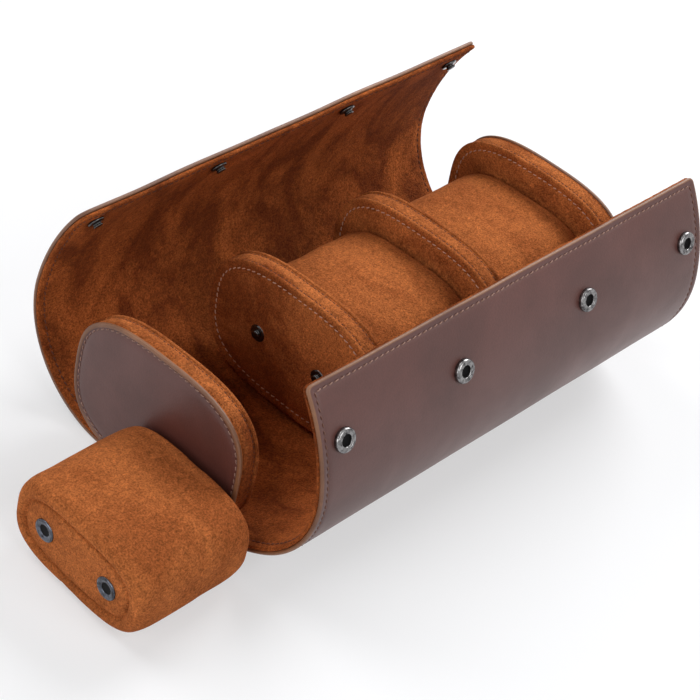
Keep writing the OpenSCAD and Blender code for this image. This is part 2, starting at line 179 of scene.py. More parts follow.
class TravelRollFinish(bpy.types.PropertyGroup):
    """Colours of the finishes."""

    leather: paint("Leather", "Smooth outer leather", 92, 51, 44)
    leather_dark: paint("Leather clouds", "Darker clouds in the leather", 74, 39, 33)
    # On the wrap this paint also covers the leather's face 0.9 mm in from the edge, partly
    # as painted highlight.
    edge: paint("Edge paint", "Paint on cut leather edges", 134, 90, 60)
    edge_dark: paint("Worn edge paint", "Where the paint is thin", 94, 58, 38)
    suede: paint("Suede", "Nap that lies towards the light", 176, 101, 53)
    suede_dark: paint("Brushed suede", "Nap that lies the other way", 116, 54, 22)
    lining: paint("Lining", "The lining's nap that lies towards the light", 164, 88, 42)
    lining_dark: paint(
        "Brushed lining", "The lining's nap that lies the other way", 94, 40, 15
    )
    thread: paint("Thread", "Thread on the leather", 160, 126, 112)
    thread_light: paint("Light thread", "Thread on the suede faces", 206, 158, 130)
    # Painted shade: the leather thread made darker for the stitches down the wrap's ends,
    # in their shaded groove; the leather thread's rubbed places use it too.
    thread_shade_and_wear: paint("Shaded side thread", "Thread down the wrap's ends", 112, 78, 62)
    thread_dark: paint("Dark thread", "Thread in the lining and seams", 74, 42, 28)
    gunmetal: paint("Gunmetal", "Sockets in the flap", 140, 138, 138)
    blued: paint("Blued metal", "Sockets in the pillows", 98, 102, 112)
    # Darker patches mixed at random into the sockets' metal colour.
    metal_dark_patches: paint("Metal patches", "Dark patches on the sockets", 44, 42, 44)
    enamel: paint("Black enamel", "Studs", 22, 21, 22)
    # Painted shade: this near-black colour lines the sockets' holes in place of the shadow
    # there; the black enamel also uses it for its smears.
    bore_shade_and_smear: paint("Bore shade", "Inside of a socket", 16, 15, 16)
    floor: paint("Floor", "Table under the roll", 246, 247, 250)


# ---- meshes --------------------------------------------------------------


def add_mesh(name, points, faces, materials, material_of=None):
    """One smooth-shaded mesh object, its faces turned outwards."""
    mesh = bpy.data.meshes.new(name)
    mesh.from_pydata(np.asarray(points, float).tolist(), [], faces)
    for material in materials:
        mesh.materials.append(material)
    if material_of is not None:
        mesh.polygons.foreach_set("material_index", material_of)
    mesh.polygons.foreach_set("use_smooth", [True] * len(mesh.polygons))
    skin = bmesh.new()
    skin.from_mesh(mesh)
    bmesh.ops.recalc_face_normals(skin, faces=skin.faces)
    skin.to_mesh(mesh)
    skin.free()
    mesh.update()
    piece = bpy.data.objects.new(name, mesh)
    bpy.context.scene.collection.objects.link(piece)
    return piece


def moved(points, matrix):
    """The points after the matrix."""
    m = np.array(matrix, float)
    return np.asarray(points, float) @ m[:3, :3].T + m[:3, 3]


def strip(low, high, looped):
    """Quads between two rows of point numbers."""
    low, high = np.asarray(low), np.asarray(high)
    if looped:
        low, high = np.append(low, low[0]), np.append(high, high[0])
    return np.stack([low[:-1], low[1:], high[1:], high[:-1]], 1).tolist()


def end_faces(n, count):
    """Faces that close the first and the last of count rings of n points."""
    return [list(range(n))[::-1], [(count - 1) * n + i for i in range(n)]]


def outline(a, b, power, shares):
    """Points of a rounded outline at the given shares of its length."""
    angle = np.linspace(0, 2 * np.pi, 1441)
    c, s = np.cos(angle), np.sin(angle)
    y = a * np.sign(c) * np.abs(c) ** (2 / power)
    z = b * np.sign(s) * np.abs(s) ** (2 / power)
    walk = np.append(0, np.cumsum(np.hypot(np.diff(y), np.diff(z))))
    at = np.asarray(shares) * walk[-1]
    return np.stack([np.interp(at, walk, y), np.interp(at, walk, z)], 1)


def outline_length(a, b, power):
    p = outline(a, b, power, np.linspace(0, 1, 721))
    return float(np.hypot(*np.diff(p, axis=0).T).sum())


def rings_mesh(rings, closed_loop=False):
    """Points and quads through equal rings of points."""
    n = len(rings[0])
    rows = [np.arange(n) + k * n for k in range(len(rings))]
    faces = []
    for k in range(len(rings) - 1):
        faces += strip(rows[k], rows[k + 1], True)
    if closed_loop:
        faces += strip(rows[-1], rows[0], True)
    return np.concatenate(rings), faces


def waves(u, v, spans, seed):
    """Smooth uneven height from -1 to 1 over two lengths."""
    turns = np.random.default_rng(seed)
    total = np.zeros(np.broadcast(u, v).shape)
    for span in spans:
        heading = turns.uniform(0, 2 * np.pi, 3)
        for h in heading:
            phase = turns.uniform(0, 2 * np.pi)
            total += np.sin(
                2 * np.pi * (u * np.cos(h) + v * np.sin(h)) / span + phase
            )
    return total / (3 * len(spans))


# (place along half a stitch, thickness), and how high a stitch arches
STITCH_FORM = (
    (-1.0, 0.45), (-0.72, 1.0), (-0.25, 1.0), (0.25, 1.0), (0.72, 1.0), (1.0, 0.45),
)
STITCH_TOP, STITCH_ARCH = 0.75, 1.5
THREAD_SIDES = 6


def stitches(name, places, along, up, thread, material):
    """A row of sewn stitches: each arcs out of the surface and dips back in."""
    along = along / np.linalg.norm(along, axis=1, keepdims=True)
    across = np.cross(up, along)
    c, s = math.cos(thread.slant), math.sin(thread.slant)
    along, across = along * c + across * s, across * c - along * s
    sides = THREAD_SIDES
    template = []
    for q, thick in STITCH_FORM:
        r = thread.radius * thick
        lift = thread.radius * (STITCH_TOP - STITCH_ARCH * q * q)
        for w in np.arange(sides) * 2 * np.pi / sides:
            template.append(
                (q * thread.stitch / 2, r * math.cos(w), lift + r * math.sin(w))
            )
    template = np.array(template)
    points = (
        places[:, None, :]
        + along[:, None, :] * template[None, :, 0:1]
        + across[:, None, :] * template[None, :, 1:2]
        + up[:, None, :] * template[None, :, 2:3]
    ).reshape(-1, 3)
    one = end_faces(sides, len(STITCH_FORM))
    for k in range(len(STITCH_FORM) - 1):
        one += strip(np.arange(sides) + k * sides, np.arange(sides) + (k + 1) * sides, True)
    faces = [
        [i + k * len(template) for i in face] for k in range(len(places)) for face in one
    ]
    return add_mesh(name, points, faces, [material])


def lathe(profile, sides=40):
    """Points and faces of a turned piece, from (radius, height) pairs."""
    angle = np.arange(sides) * 2 * np.pi / sides
    rings = [
        np.stack([r * np.cos(angle), r * np.sin(angle), np.full(sides, z)], 1)
        for r, z in profile
    ]
    points, faces = rings_mesh(rings)
    return points, faces + end_faces(sides, len(profile))


def snap_row(name, form, matrices, materials, painted_shade_from=None):
    """Several equal snaps as one piece.  Faces from the point number given last on line the
    hole, whose near-black finish is painted shade.
    """
    points, faces = form
    all_points, all_faces, tone = [], [], []
    for k, matrix in enumerate(matrices):
        all_points.append(moved(points, matrix))
        all_faces += [[i + k * len(points) for i in face] for face in faces]
        tone += [
            1 if painted_shade_from is not None and min(face) >= painted_shade_from else 0
            for face in faces
        ]
    return add_mesh(name, np.concatenate(all_points), all_faces, materials, tone)


# ---- finishes ------------------------------------------------------------


def new_group(name, outputs, **inputs):
    """A shader node group: its tree, its given values and its output node."""
    group = bpy.data.node_groups.new(name, "ShaderNodeTree")
    for label, value in inputs.items():
        kind = "NodeSocketColor" if isinstance(value, tuple) else "NodeSocketFloat"
        socket = group.interface.new_socket(
            label.replace("_", " "), in_out="INPUT", socket_type=kind
        )
        socket.default_value = value
    for label in outputs:
        kind = "NodeSocketColor" if label == "Color" else "NodeSocketFloat"
        group.interface.new_socket(label, in_out="OUTPUT", socket_type=kind)
    given = group.nodes.new("NodeGroupInput").outputs
    return group, given, group.nodes.new("NodeGroupOutput")


def feed(tree, node, **values):
    """Sets a node's inputs to plain values, or links them to other nodes.

    An input goes by its name, or as _0, _1 and so on by its place.
    """
    for label, value in values.items():
        key = int(label[1:]) if label[1:].isdigit() else label.replace("_", " ")
        socket = node.inputs[key]
        if isinstance(value, (float, tuple)):
            socket.default_value = value
        else:
            tree.links.new(value, socket)
    return node


def noise(tree, place, scale, detail=2.0, rough=0.5, distortion=0.0):
    node = tree.nodes.new("ShaderNodeTexNoise")
    feed(
        tree, node, Vector=place, Scale=scale,
        Detail=detail, Roughness=rough, Distortion=distortion,
    )
    return node.outputs["Fac"]


def remap(tree, value, low, high, to_low, to_high):
    node = tree.nodes.new("ShaderNodeMapRange")
    feed(
        tree, node, Value=value,
        From_Min=low, From_Max=high, To_Min=to_low, To_Max=to_high,
    )
    return node.outputs["Result"]


def calc(tree, operation, a, b=0.0):
    node = tree.nodes.new("ShaderNodeMath")
    node.operation = operation
    return feed(tree, node, _0=a, _1=b).outputs["Value"]


def blend_colours(tree, factor, a, b):
    node = tree.nodes.new("ShaderNodeMix")
    node.data_type = "RGBA"
    return feed(tree, node, _0=factor, _6=a, _7=b).outputs[2]


def shade(tree, value, colour):
    """The colour made lighter or darker by the value."""
    node = tree.nodes.new("ShaderNodeHueSaturation")
    return feed(tree, node, Value=value, Color=colour).outputs["Color"]


def suede_nap_group():
    """Brushed nap: wide light and dark swathes, small tufts and fine grain."""
    group, given, result = new_group(
        "Suede Nap", ("Color", "Height"),
        Color=(0.4, 0.15, 0.05, 1), Brushed_Color=(0.2, 0.06, 0.02, 1),
        Swathe_Scale=40.0, Swathe_Amount=0.5, Grain_Scale=2000.0, Grain_Amount=0.35,
    )
    place = group.nodes.new("ShaderNodeTexCoord").outputs["Object"]
    brushed = group.nodes.new("ShaderNodeMapping")
    feed(group, brushed, Vector=place, Rotation=(0.5, 0.3, 0.8), Scale=(1.0, 0.42, 0.6))
    swathe = noise(group, brushed.outputs["Vector"], given["Swathe Scale"], 4.0, 0.6, 1.1)
    swathe = remap(group, swathe, 0.38, 0.62, 0.0, 1.0)
    swathe = calc(group, "MULTIPLY", swathe, given["Swathe Amount"])
    tuft = noise(group, place, 420.0, 3.0, 0.6, 0.4)
    grain = noise(group, place, given["Grain Scale"], 2.0, 0.7)
    base = blend_colours(group, swathe, given["Color"], given["Brushed Color"])
    less = calc(group, "SUBTRACT", 1.0, given["Grain Amount"])
    more = calc(group, "ADD", 1.0, given["Grain Amount"])
    speck = remap(group, grain, 0.32, 0.68, less, more)
    clump = remap(group, tuft, 0.3, 0.7, 0.78, 1.2)
    tone = calc(group, "MULTIPLY", speck, clump)
    height = calc(group, "ADD", grain, calc(group, "MULTIPLY", tuft, 0.8))
    feed(group, result, Color=shade(group, tone, base), Height=height)
    return group


def leather_grain_group():
    """Fine pressed pebbles with faint clouds, in paint or leather."""
    group, given, result = new_group(
        "Leather Grain", ("Color", "Roughness", "Height"),
        Color=(0.1, 0.04, 0.03, 1), Cloud_Color=(0.06, 0.02, 0.02, 1),
        Cloud_Scale=30.0, Pebble_Scale=1500.0, Roughness=0.45,
    )
    place = group.nodes.new("ShaderNodeTexCoord").outputs["Object"]
    cloud = noise(group, place, given["Cloud Scale"], 4.0, 0.6, 0.3)
    fine = noise(group, place, 5200.0, 2.0, 0.6)
    cell = group.nodes.new("ShaderNodeTexVoronoi")
    cell.feature = "SMOOTH_F1"
    feed(group, cell, Vector=place, Scale=given["Pebble Scale"])
    pebble = cell.outputs["Distance"]
    mask = remap(group, cloud, 0.35, 0.7, 0.0, 1.0)
    base = blend_colours(group, mask, given["Color"], given["Cloud Color"])
    tone = remap(group, pebble, 0.0, 0.8, 1.05, 0.9)
    rough = remap(group, cloud, 0.3, 0.7, -0.05, 0.06)
    height = calc(group, "SUBTRACT", calc(group, "MULTIPLY", fine, 0.25), pebble)
    feed(
        group, result, Color=shade(group, tone, base),
        Roughness=calc(group, "ADD", rough, given["Roughness"]), Height=height,
    )
    return group


def handled_group():
    """A second colour mixed in at random: smears and rubbed places on enamel and thread,
    darker patches on metal.
    """
    group, given, result = new_group(
        "Handled Surface", ("Color", "Roughness", "Height"),
        Color=(0.3, 0.3, 0.3, 1), Rubbed_Color=(0.5, 0.5, 0.5, 1),
        Scale=900.0, Roughness=0.3,
    )
    place = group.nodes.new("ShaderNodeTexCoord").outputs["Object"]
    smear = noise(group, place, given["Scale"], 3.0, 0.6, 0.5)
    mask = remap(group, smear, 0.4, 0.7, 0.0, 1.0)
    base = blend_colours(group, mask, given["Color"], given["Rubbed Color"])
    rough = remap(group, smear, 0.3, 0.7, -0.07, 0.08)
    rough = calc(group, "ADD", rough, given["Roughness"])
    feed(group, result, Color=base, Roughness=rough, Height=smear)
    return group


def rgba(colour):
    return (colour[0], colour[1], colour[2], 1.0)


def finish(name, group, values, bump, **sockets):
    """A material whose surface comes from one of the groups."""
    material = bpy.data.materials.new(name)
    material.use_nodes = True
    tree = material.node_tree
    shader = tree.nodes["Principled BSDF"]
    skin = tree.nodes.new("ShaderNodeGroup")
    skin.node_tree = group
    feed(tree, skin, **values)
    relief = tree.nodes.new("ShaderNodeBump")
    feed(tree, relief, Strength=bump[0], Distance=bump[1], Height=skin.outputs["Height"])
    feed(
        tree, shader, Base_Color=skin.outputs["Color"],
        Normal=relief.outputs["Normal"], **sockets,
    )
    if "Roughness" in skin.outputs:
        feed(tree, shader, Roughness=skin.outputs["Roughness"])
    return material


def make_finishes(f):
    """All finishes of the roll, by name."""
    nap, grain, handled = suede_nap_group(), leather_grain_group(), handled_group()

    def suede(name, colour, brushed, amount, swathe, grain_amount):
        values = dict(
            Color=rgba(colour), Brushed_Color=rgba(brushed),
            Swathe_Scale=swathe, Swathe_Amount=amount,
            Grain_Scale=1350.0, Grain_Amount=grain_amount,
        )
        return finish(
            name, nap, values, (0.8, 0.0007),
            Roughness=0.95, Specular_IOR_Level=0.1,
            Sheen_Weight=0.16, Sheen_Roughness=0.45, Sheen_Tint=rgba(colour),
        )

    def hide(name, colour, cloud, pebble, rough, strength, coat):
        values = dict(
            Color=rgba(colour), Cloud_Color=rgba(cloud), Cloud_Scale=28.0,
            Pebble_Scale=pebble, Roughness=rough,
        )
        return finish(
            name, grain, values, (strength, 0.0002),
            Specular_IOR_Level=0.5, Coat_Weight=coat, Coat_Roughness=0.35,
        )

    def worn(name, colour, rubbed, scale, rough, strength, **sockets):
        values = dict(
            Color=rgba(colour), Rubbed_Color=rgba(rubbed), Scale=scale, Roughness=rough,
        )
        return finish(name, handled, values, (strength, 0.0001), **sockets)

    def sewn(name, colour, worn_colour, rough=0.75):
        return worn(name, colour, worn_colour, 2600.0, rough, 0.6)

    def metal(name, colour, rough):
        return worn(name, colour, f.metal_dark_patches, 620.0, rough, 0.2, Metallic=1.0)

    return {
        "lining": suede("suede_lining", f.lining, f.lining_dark, 0.8, 42.0, 0.5),
        "disc": suede("suede_discs", f.suede, f.suede_dark, 0.8, 60.0, 0.46),
        "pillow": suede("suede_pillows", f.suede, f.suede_dark, 0.45, 52.0, 0.42),
        "leather": hide(
            "smooth_leather", f.leather, f.leather_dark, 1500.0, 0.42, 0.2, 0.08
        ),
        "edge": hide("edge_paint", f.edge, f.edge_dark, 700.0, 0.5, 0.35, 0.05),
        "thread": sewn("leather_thread", f.thread, f.thread_shade_and_wear),
        "thread_light": sewn("suede_thread", f.thread_light, f.thread),
        # stitches down the wrap's ends: the same thread darkened as painted shade
        "thread_shade_and_wear": sewn("side_thread_painted_shade", f.thread_shade_and_wear, f.leather),
        "thread_dark": sewn("dark_thread", f.thread_dark, f.suede_dark, 0.8),
        "gunmetal": metal("gunmetal", f.gunmetal, 0.18),
        "blued": metal("blued_metal", f.blued, 0.24),
        "enamel": worn(
            "black_enamel", f.enamel, f.bore_shade_and_smear, 500.0, 0.2, 0.05,
            Metallic=0.35, Coat_Weight=1.0, Coat_Roughness=0.08,
        ),
        # the sockets' holes: near black, painted shade
        "bore_shade_and_smear": worn(
            "socket_hole_painted_shade", f.bore_shade_and_smear, f.enamel, 500.0, 0.8, 0.1, Specular_IOR_Level=0.15
        ),
    }


# main fills this before the operators run
FINISH = {}


# ---- the wrap's form -----------------------------------------------------


def bend(curve, s):
    """Along, up and slope after the length s on a curve of (radius, angle) arcs."""
    u, v, a = np.zeros_like(s), np.zeros_like(s), np.zeros_like(s)
    for r, angle in curve:
        part = np.clip(s, 0, r * angle)
        b = a + part / r
        u = u + r * (np.sin(b) - np.sin(a))
        v = v + r * (np.cos(a) - np.cos(b))
        a, s = b, s - part
    return u + s * np.cos(a), v + s * np.sin(a), a


# (depth, half width) of what is pressed into the leather and the lining
LEATHER_GROOVE, LINING_GROOVE = (0.00034, 0.0007), (0.00032, 0.0008)
SOCKET_DISH = (0.00016, 0.0075)
# a ridge along the studs' reinforcement, and one crease behind a disc
RIDGE_FROM_STUDS = 0.0245
CREASE_X, CREASE_T = 0.0403, 0.081


def trough(form, away):
    """Depth of a soft hollow of (depth, half width), away from its middle."""
    depth, half = form
    return depth * np.exp(-((away / half) ** 2))


class WrapForm:
    """The wrap's bent cross-section and flat outline.

    t runs along the outer leather from the front flap's edge to the lid's,
    with 0 at the front of the flat foot.  d is the depth under the leather.
    """

    def __init__(self, s):
        self.s = s
        self.front = [
            (s.front_r_1, s.front_bend_1),
            (s.front_r_2, s.front_bend_2),
            (s.front_r_3, s.front_bend_3),
        ]
        self.back = [(s.lid_r_1, s.lid_bend_1), (s.lid_r_2, s.lid_bend_2)]
        self.flat = s.foot_front + s.foot_back
        self.low = -sum(r * a for r, a in self.front)
        self.high = self.flat + sum(r * a for r, a in self.back)
        self.half = s.length / 2
        self.sockets = self.low + s.socket_row
        self.studs = self.high - s.stud_row
        self.snap_x = (-s.snap_outer, -s.snap_inner, s.snap_inner, s.snap_outer)

    def section(self, t):
        t = np.asarray(t, float)
        uf, vf, af = bend(self.front, np.maximum(-t, 0))
        ub, vb, ab = bend(self.back, np.maximum(t - self.flat, 0))
        front, back = t < 0, t > self.flat
        side = np.where(front, -1.0, 1.0)
        start = np.where(
            front, -self.s.foot_front,
            np.where(back, self.s.foot_back, t - self.s.foot_front),
        )
        u, v = np.where(front, uf, ub), np.where(front, vf, vb)
        return start + side * u, v, np.where(front, -af, ab)

    def place(self, x, t, d):
        y, z, a = self.section(t)
        x, y, z, a, d = np.broadcast_arrays(x, y, z, a, d)
        return np.stack([x, y - d * np.sin(a), z + d * np.cos(a)], -1)

    def tangent(self, t):
        _, _, a = self.section(t)
        return np.stack([np.zeros_like(a), np.cos(a), np.sin(a)], -1)

    def inward(self, t):
        _, _, a = self.section(t)
        return np.stack([np.zeros_like(a), -np.sin(a), np.cos(a)], -1)

    def from_edge(self, x, t):
        """Distance from the wrap's outline, whose corners are round."""
        found = None
        for r, inside in (
            (self.s.front_tip_r, t - self.low),
            (self.s.lid_tip_r, self.high - t),
        ):
            over_x, over_t = np.abs(x) - (self.half - r), r - inside
            flat = np.minimum(self.half - np.abs(x), inside)
            corner = r - np.hypot(over_x, over_t)
            d = np.where((over_x > 0) & (over_t > 0), corner, flat)
            found = d if found is None else np.minimum(found, d)
        return found

    def ripple(self, x, t):
        """Slight waves in both free edges, the same in every layer."""
        front = np.exp(-(((t - self.low) / 0.013) ** 2))
        lid = np.exp(-(((self.high - t) / 0.018) ** 2))
        a = np.sin(2 * np.pi * x / 0.061 + 0.7) + 0.6 * np.sin(2 * np.pi * x / 0.034 + 2.3)
        b = np.sin(2 * np.pi * x / 0.083 + 1.9) + 0.5 * np.sin(2 * np.pi * x / 0.047)
        return 0.00019 * a * front + 0.00014 * b * lid

    def leather_depth(self, x, t):
        """How far the outer leather lies under its plain form."""
        near = self.from_edge(x, t)
        d = trough(LEATHER_GROOVE, near - STITCH_ROW)
        for sx in self.snap_x:
            d = d + trough(SOCKET_DISH, np.hypot(x - sx, t - self.sockets))
        d = d + 0.00008 * waves(x, t, (0.05, 0.031), 4)
        return d + self.ripple(x, t)

    def lining_depth(self, x, t):
        """Depth of the lining's nap: pressed in at its stitches and studs."""
        near = self.from_edge(x, t)
        press = trough(LINING_GROOVE, near - STITCH_ROW)
        for k, sx in enumerate(self.snap_x):
            dx, dt = x - sx, t - self.studs
            r, around = np.hypot(dx, dt), np.arctan2(dt, dx)
            press = press + 0.0008 * np.exp(-((dx / 0.0075) ** 2) - (dt / 0.0044) ** 2)
            pleat = np.cos(2 * around + 0.5 * k) + 0.7 * np.cos(5 * around + 1.7 * k)
            press = press + 0.00022 * (1 + pleat) * np.exp(-(((r - 0.0078) / 0.0042) ** 2))
        from_ridge = t - self.studs + RIDGE_FROM_STUDS
        ridge = np.exp(-((from_ridge / 0.0009) ** 2)) * (np.abs(x) < 0.1)
        fold = np.exp(-(((x - CREASE_X) / 0.0009) ** 2) - ((t - CREASE_T) / 0.012) ** 4)
        loose = 0.5 + 0.5 * waves(x, t, (0.055, 0.034, 0.021), 9)
        press = press + 0.00028 * loose - 0.00014 * ridge + 0.0005 * fold
        thin = self.s.edge_thin * (1 - np.clip((near - 0.0005) / 0.0075, 0, 1)) ** 2
        return self.s.thickness - press - thin + self.ripple(x, t)


EDGE_STEPS = (0.0, 0.0006, 0.0011, 0.0016, 0.0020, 0.0024, 0.0028, 0.0034, 0.0050)
CORNER_STEPS = np.radians((90, 78, 66, 54, 42, 30, 18, 8, 0))
SEAM_STEPS = (0.0, 0.00006, 0.0004, 0.0012)


def spaced(places, least=0.00005):
    """The places in order, without those that nearly repeat."""
    kept = []
    for p in sorted(places):
        if not kept or p - kept[-1] > least:
            kept.append(p)
    return np.array(kept)


def wrap_rows(form, t0, t1, first_in, step):
    """Rows of a part of the wrap, close together at edges, corners and seams."""
    places = []
    for end, sign, r, free in (
        (t0, 1, form.s.front_tip_r, t0 == form.low),
        (t1, -1, form.s.lid_tip_r, t1 == form.high),
    ):
        if free:
            places += [end + sign * (first_in + e) for e in EDGE_STEPS]
            turn_r = r - first_in
            places += [end + sign * (r - turn_r * math.sin(q)) for q in CORNER_STEPS]
        else:
            places += [end + sign * e for e in SEAM_STEPS]
    low, high = min(places), max(places)
    inner = np.linspace(low, high, max(3, int((high - low) / step) + 1))
    near = np.abs(inner[:, None] - np.array(places)[None, :]).min(1)
    return spaced(places + inner[near > step * 0.45].tolist())


def half_width(form, t, first_in):
    """Half the width of the grid and the edge's heading, at every row."""
    w = np.full(len(t), form.half - first_in)
    out = np.zeros(len(t))
    for r, inside, sign in (
        (form.s.front_tip_r, t - form.low, -1),
        (form.s.lid_tip_r, form.high - t, 1),
    ):
        rise = np.clip((r - inside) / (r - first_in), 0, 1)
        corner = inside < r
        w = np.where(corner, form.half - r + (r - first_in) * np.sqrt(1 - rise**2), w)
        out = np.where(corner, sign * np.arcsin(rise), out)
    return w, out


def wrap_layer(name, form, t0, t1, depth, edge, materials, step, fuzz=0.0):
    """One layer of the wrap between two places, as a closed skin.

    edge lists (inset, depth) from the visible face round to the hidden back.
    """
    first_in = edge[0][0]
    t = wrap_rows(form, t0, t1, first_in, step)
    w, heading = half_width(form, t, first_in)
    steps = np.array(EDGE_STEPS)
    count = int(2 * (form.half - 0.007) / step)
    share = np.linspace(-1, 1, count)[1:-1]
    inner = w[:, None] - steps[-1]
    x = np.concatenate(
        [-(w[:, None] - steps), share * inner, w[:, None] - steps[::-1]], 1
    )
    rows, columns = x.shape
    tt = np.broadcast_to(t[:, None], x.shape)
    points = [form.place(x, tt, depth(x, tt)).reshape(-1, 3)]
    number_of = np.arange(rows * columns).reshape(rows, columns)
    faces = []
    for i in range(rows - 1):
        faces += strip(number_of[i], number_of[i + 1], False)
    tone = [0] * len(faces)

    # the rim: up the left side, over a free end, down the right side
    c, s, last = np.cos(heading), np.sin(heading), columns - 1
    left = [(i, 0, -c[i], s[i]) for i in range(rows)]
    right = [(i, last, c[i], s[i]) for i in range(rows)]
    if t0 == form.low:
        rims = [left[::-1] + [(0, j, 0.0, -1.0) for j in range(1, last)] + right]
    elif t1 == form.high:
        rims = [left + [(rows - 1, j, 0.0, 1.0) for j in range(1, last)] + right[::-1]]
    else:
        rims = [left, right]
    total = rows * columns
    backs, chains = [], []
    for rim in rims:
        chains.append([])
        i, j = np.array([p[0] for p in rim]), np.array([p[1] for p in rim])
        nx, nt = np.array([p[2] for p in rim]), np.array([p[3] for p in rim])
        rx, rt = x[i, j], t[i]
        before = number_of[i, j]
        for k, (inset, deep) in enumerate(edge[1:]):
            out = first_in - inset
            if fuzz and k < len(edge) - 3:
                tuft = np.sin(rx * 9100 + rt * 8700 + k * 2.1)
                out = out + fuzz * tuft * np.sin(rx * 5300 - rt * 6100)
            px, pt = rx + nx * out, rt + nt * out
            points.append(form.place(px, pt, deep + form.ripple(rx, rt)))
            now = total + np.arange(len(rim))
            chains[-1].append(now)
            total += len(rim)
            faces += strip(before, now, False)
            # All rim rings but the last take the second finish. On the leather that is the
            # edge paint: real paint on the cut edge, carried 0.9 mm onto the face as
            # painted highlight where the edge rounds towards the light.
            tone += [1 if k < len(edge) - 2 else 0] * (len(rim) - 1)
            before = now
        backs.append(before)
    if len(backs) == 2:
        faces += strip(backs[0], backs[1], False)
    else:
        faces += strip(backs[0][:rows - 1], backs[0][::-1][:rows - 1], False)
        faces.append(backs[0][rows - 2 : len(backs[0]) - rows + 2].tolist())
    for row, free in ((0, t0 == form.low), (rows - 1, t1 == form.high)):
        if not free:
            at_left = row if len(rims) == 2 else 0
            at_right = row if len(rims) == 2 else -1
            cap = number_of[row].tolist() + [int(c[at_right]) for c in chains[-1]]
            faces.append(cap + [int(c[at_left]) for c in chains[0][::-1]])
    tone += [0] * (len(faces) - len(tone))
    return add_mesh(name, np.concatenate(points), faces, materials, tone)


# where the wrap's skins part, between the folds
PARTINGS = (-0.062, -0.027, 0.015, 0.078)


def wrap_parts(form):
    """Each skin's ends, the two bodies either side of its fold, its fold and its nodes."""
    s, flat = form.s, form.flat
    ends = (form.low,) + PARTINGS + (form.high,)
    rows = (
        ("front_tip", ("front_tip", "front_upper"), -s.front_fold_3, ["front_tip"]),
        ("front_wall", ("front_upper", "front_side"), -s.front_fold_2, ["front_upper"]),
        ("front_foot", ("front_side", "wrap_base"), -s.front_fold_1, ["front_side"]),
        ("back_foot", ("wrap_base", "lid_back"), flat + s.lid_fold_1, ["base", "lid_back"]),
        ("lid", ("lid_back", "lid_top"), flat + s.lid_fold_2, ["lid_top"]),
    )
    return [(row[0], ends[k], ends[k + 1]) + row[1:] for k, row in enumerate(rows)]


def bend_with(piece, form, part):
    """Bakes the piece's placement into its mesh.  The ends of its part's fold are worked
    out, but the piece is not bent over them.
    """
    fold, soft, mid = part[4], form.s.fold_soft, form.s.thickness / 2
    start = form.place(0.0, fold - soft, mid)
    end = form.place(0.0, fold + soft, mid)
    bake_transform(piece)


# (inset, depth) round the edges of the leather and of the lining
# The leather's rings start 0.9 mm in on its face, where its edge paint begins: real paint
# on the edge, painted highlight on the rounding face.
LEATHER_EDGE = (
    (0.0009, 0.0), (0.0005, 0.00006), (0.00022, 0.00022), (0.00005, 0.0005),
    (0.0, 0.0008), (0.00002, 0.0011), (0.00012, 0.0014), (0.0004, 0.00158),
    (0.0008, 0.0016), (0.003, 0.0016),
)
LINING_EDGE = (
    (0.0010, 0.0034), (0.00055, 0.00326), (0.00025, 0.00306), (0.00006, 0.00278),
    (0.0, 0.00245), (0.00006, 0.0021), (0.0003, 0.0018), (0.0007, 0.0017),
    (0.003, 0.0017),
)


class TRAVELROLL_OT_leather(bpy.types.Operator):
    """Make the smooth outer leather of the wrap, with its painted edge"""

    bl_idname = "travelroll.leather"
    bl_label = "Outer leather"

    def execute(self, context):
        form = WrapForm(context.scene.travel_roll_wrap)
        for part in wrap_parts(form):
            piece = wrap_layer(
                "leather_" + part[0], form, part[1], part[2], form.leather_depth,
                LEATHER_EDGE, [FINISH["leather"], FINISH["edge"]], 0.0026,
            )
            bend_with(piece, form, part)
            for body in part[5]:
                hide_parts(body + "_leather", body + "_board")
        return {"FINISHED"}


class TRAVELROLL_OT_lining(bpy.types.Operator):
    """Make the suede lining of the wrap, puckered at its studs"""

    bl_idname = "travelroll.lining"
    bl_label = "Suede lining"

    def execute(self, context):
        form = WrapForm(context.scene.travel_roll_wrap)
        for part in wrap_parts(form):
            step = 0.0016 if part[0] == "lid" else 0.0026
            piece = wrap_layer(
                "lining_" + part[0], form, part[1], part[2], form.lining_depth,
                LINING_EDGE, [FINISH["lining"], FINISH["lining"]], step, 0.00014,
            )
            bend_with(piece, form, part)
            for body in part[5]:
                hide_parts(body + "_lining")
        return {"FINISHED"}


def edge_row(form, thread):
    """Places and headings of the stitches round the wrap, in x and t."""
    inset = thread.inset
    ends = ((form.low, 1, form.s.front_tip_r), (form.high, -1, form.s.lid_tip_r))
    side = form.half - inset
    path = []
    for sx, order in ((-1, ends), (1, ends[::-1])):
        for k, (end, sign, r) in enumerate(order):
            small = max(r - inset, 0.0006)
            arc = np.linspace(0, np.pi / 2, 9)
            px = sx * (side - small + small * np.cos(arc))
            pt = end + sign * (inset + small - small * np.sin(arc))
            arc_points = list(zip(px, pt))
            path += arc_points if k == 1 else arc_points[::-1]
    path = np.array(path + path[:1])
    walk = np.append(0, np.cumsum(np.hypot(*np.diff(path, axis=0).T)))
    count = int(walk[-1] / thread.pitch)
    at = (np.arange(count) + 0.5) * walk[-1] / count
    x, t = np.interp(at, walk, path[:, 0]), np.interp(at, walk, path[:, 1])
    step = 0.0004
    ahead = [np.interp(at + step, walk, path[:, k]) for k in (0, 1)]
    behind = [np.interp(at - step, walk, path[:, k]) for k in (0, 1)]
    return x, t, ahead[0] - behind[0], ahead[1] - behind[1]


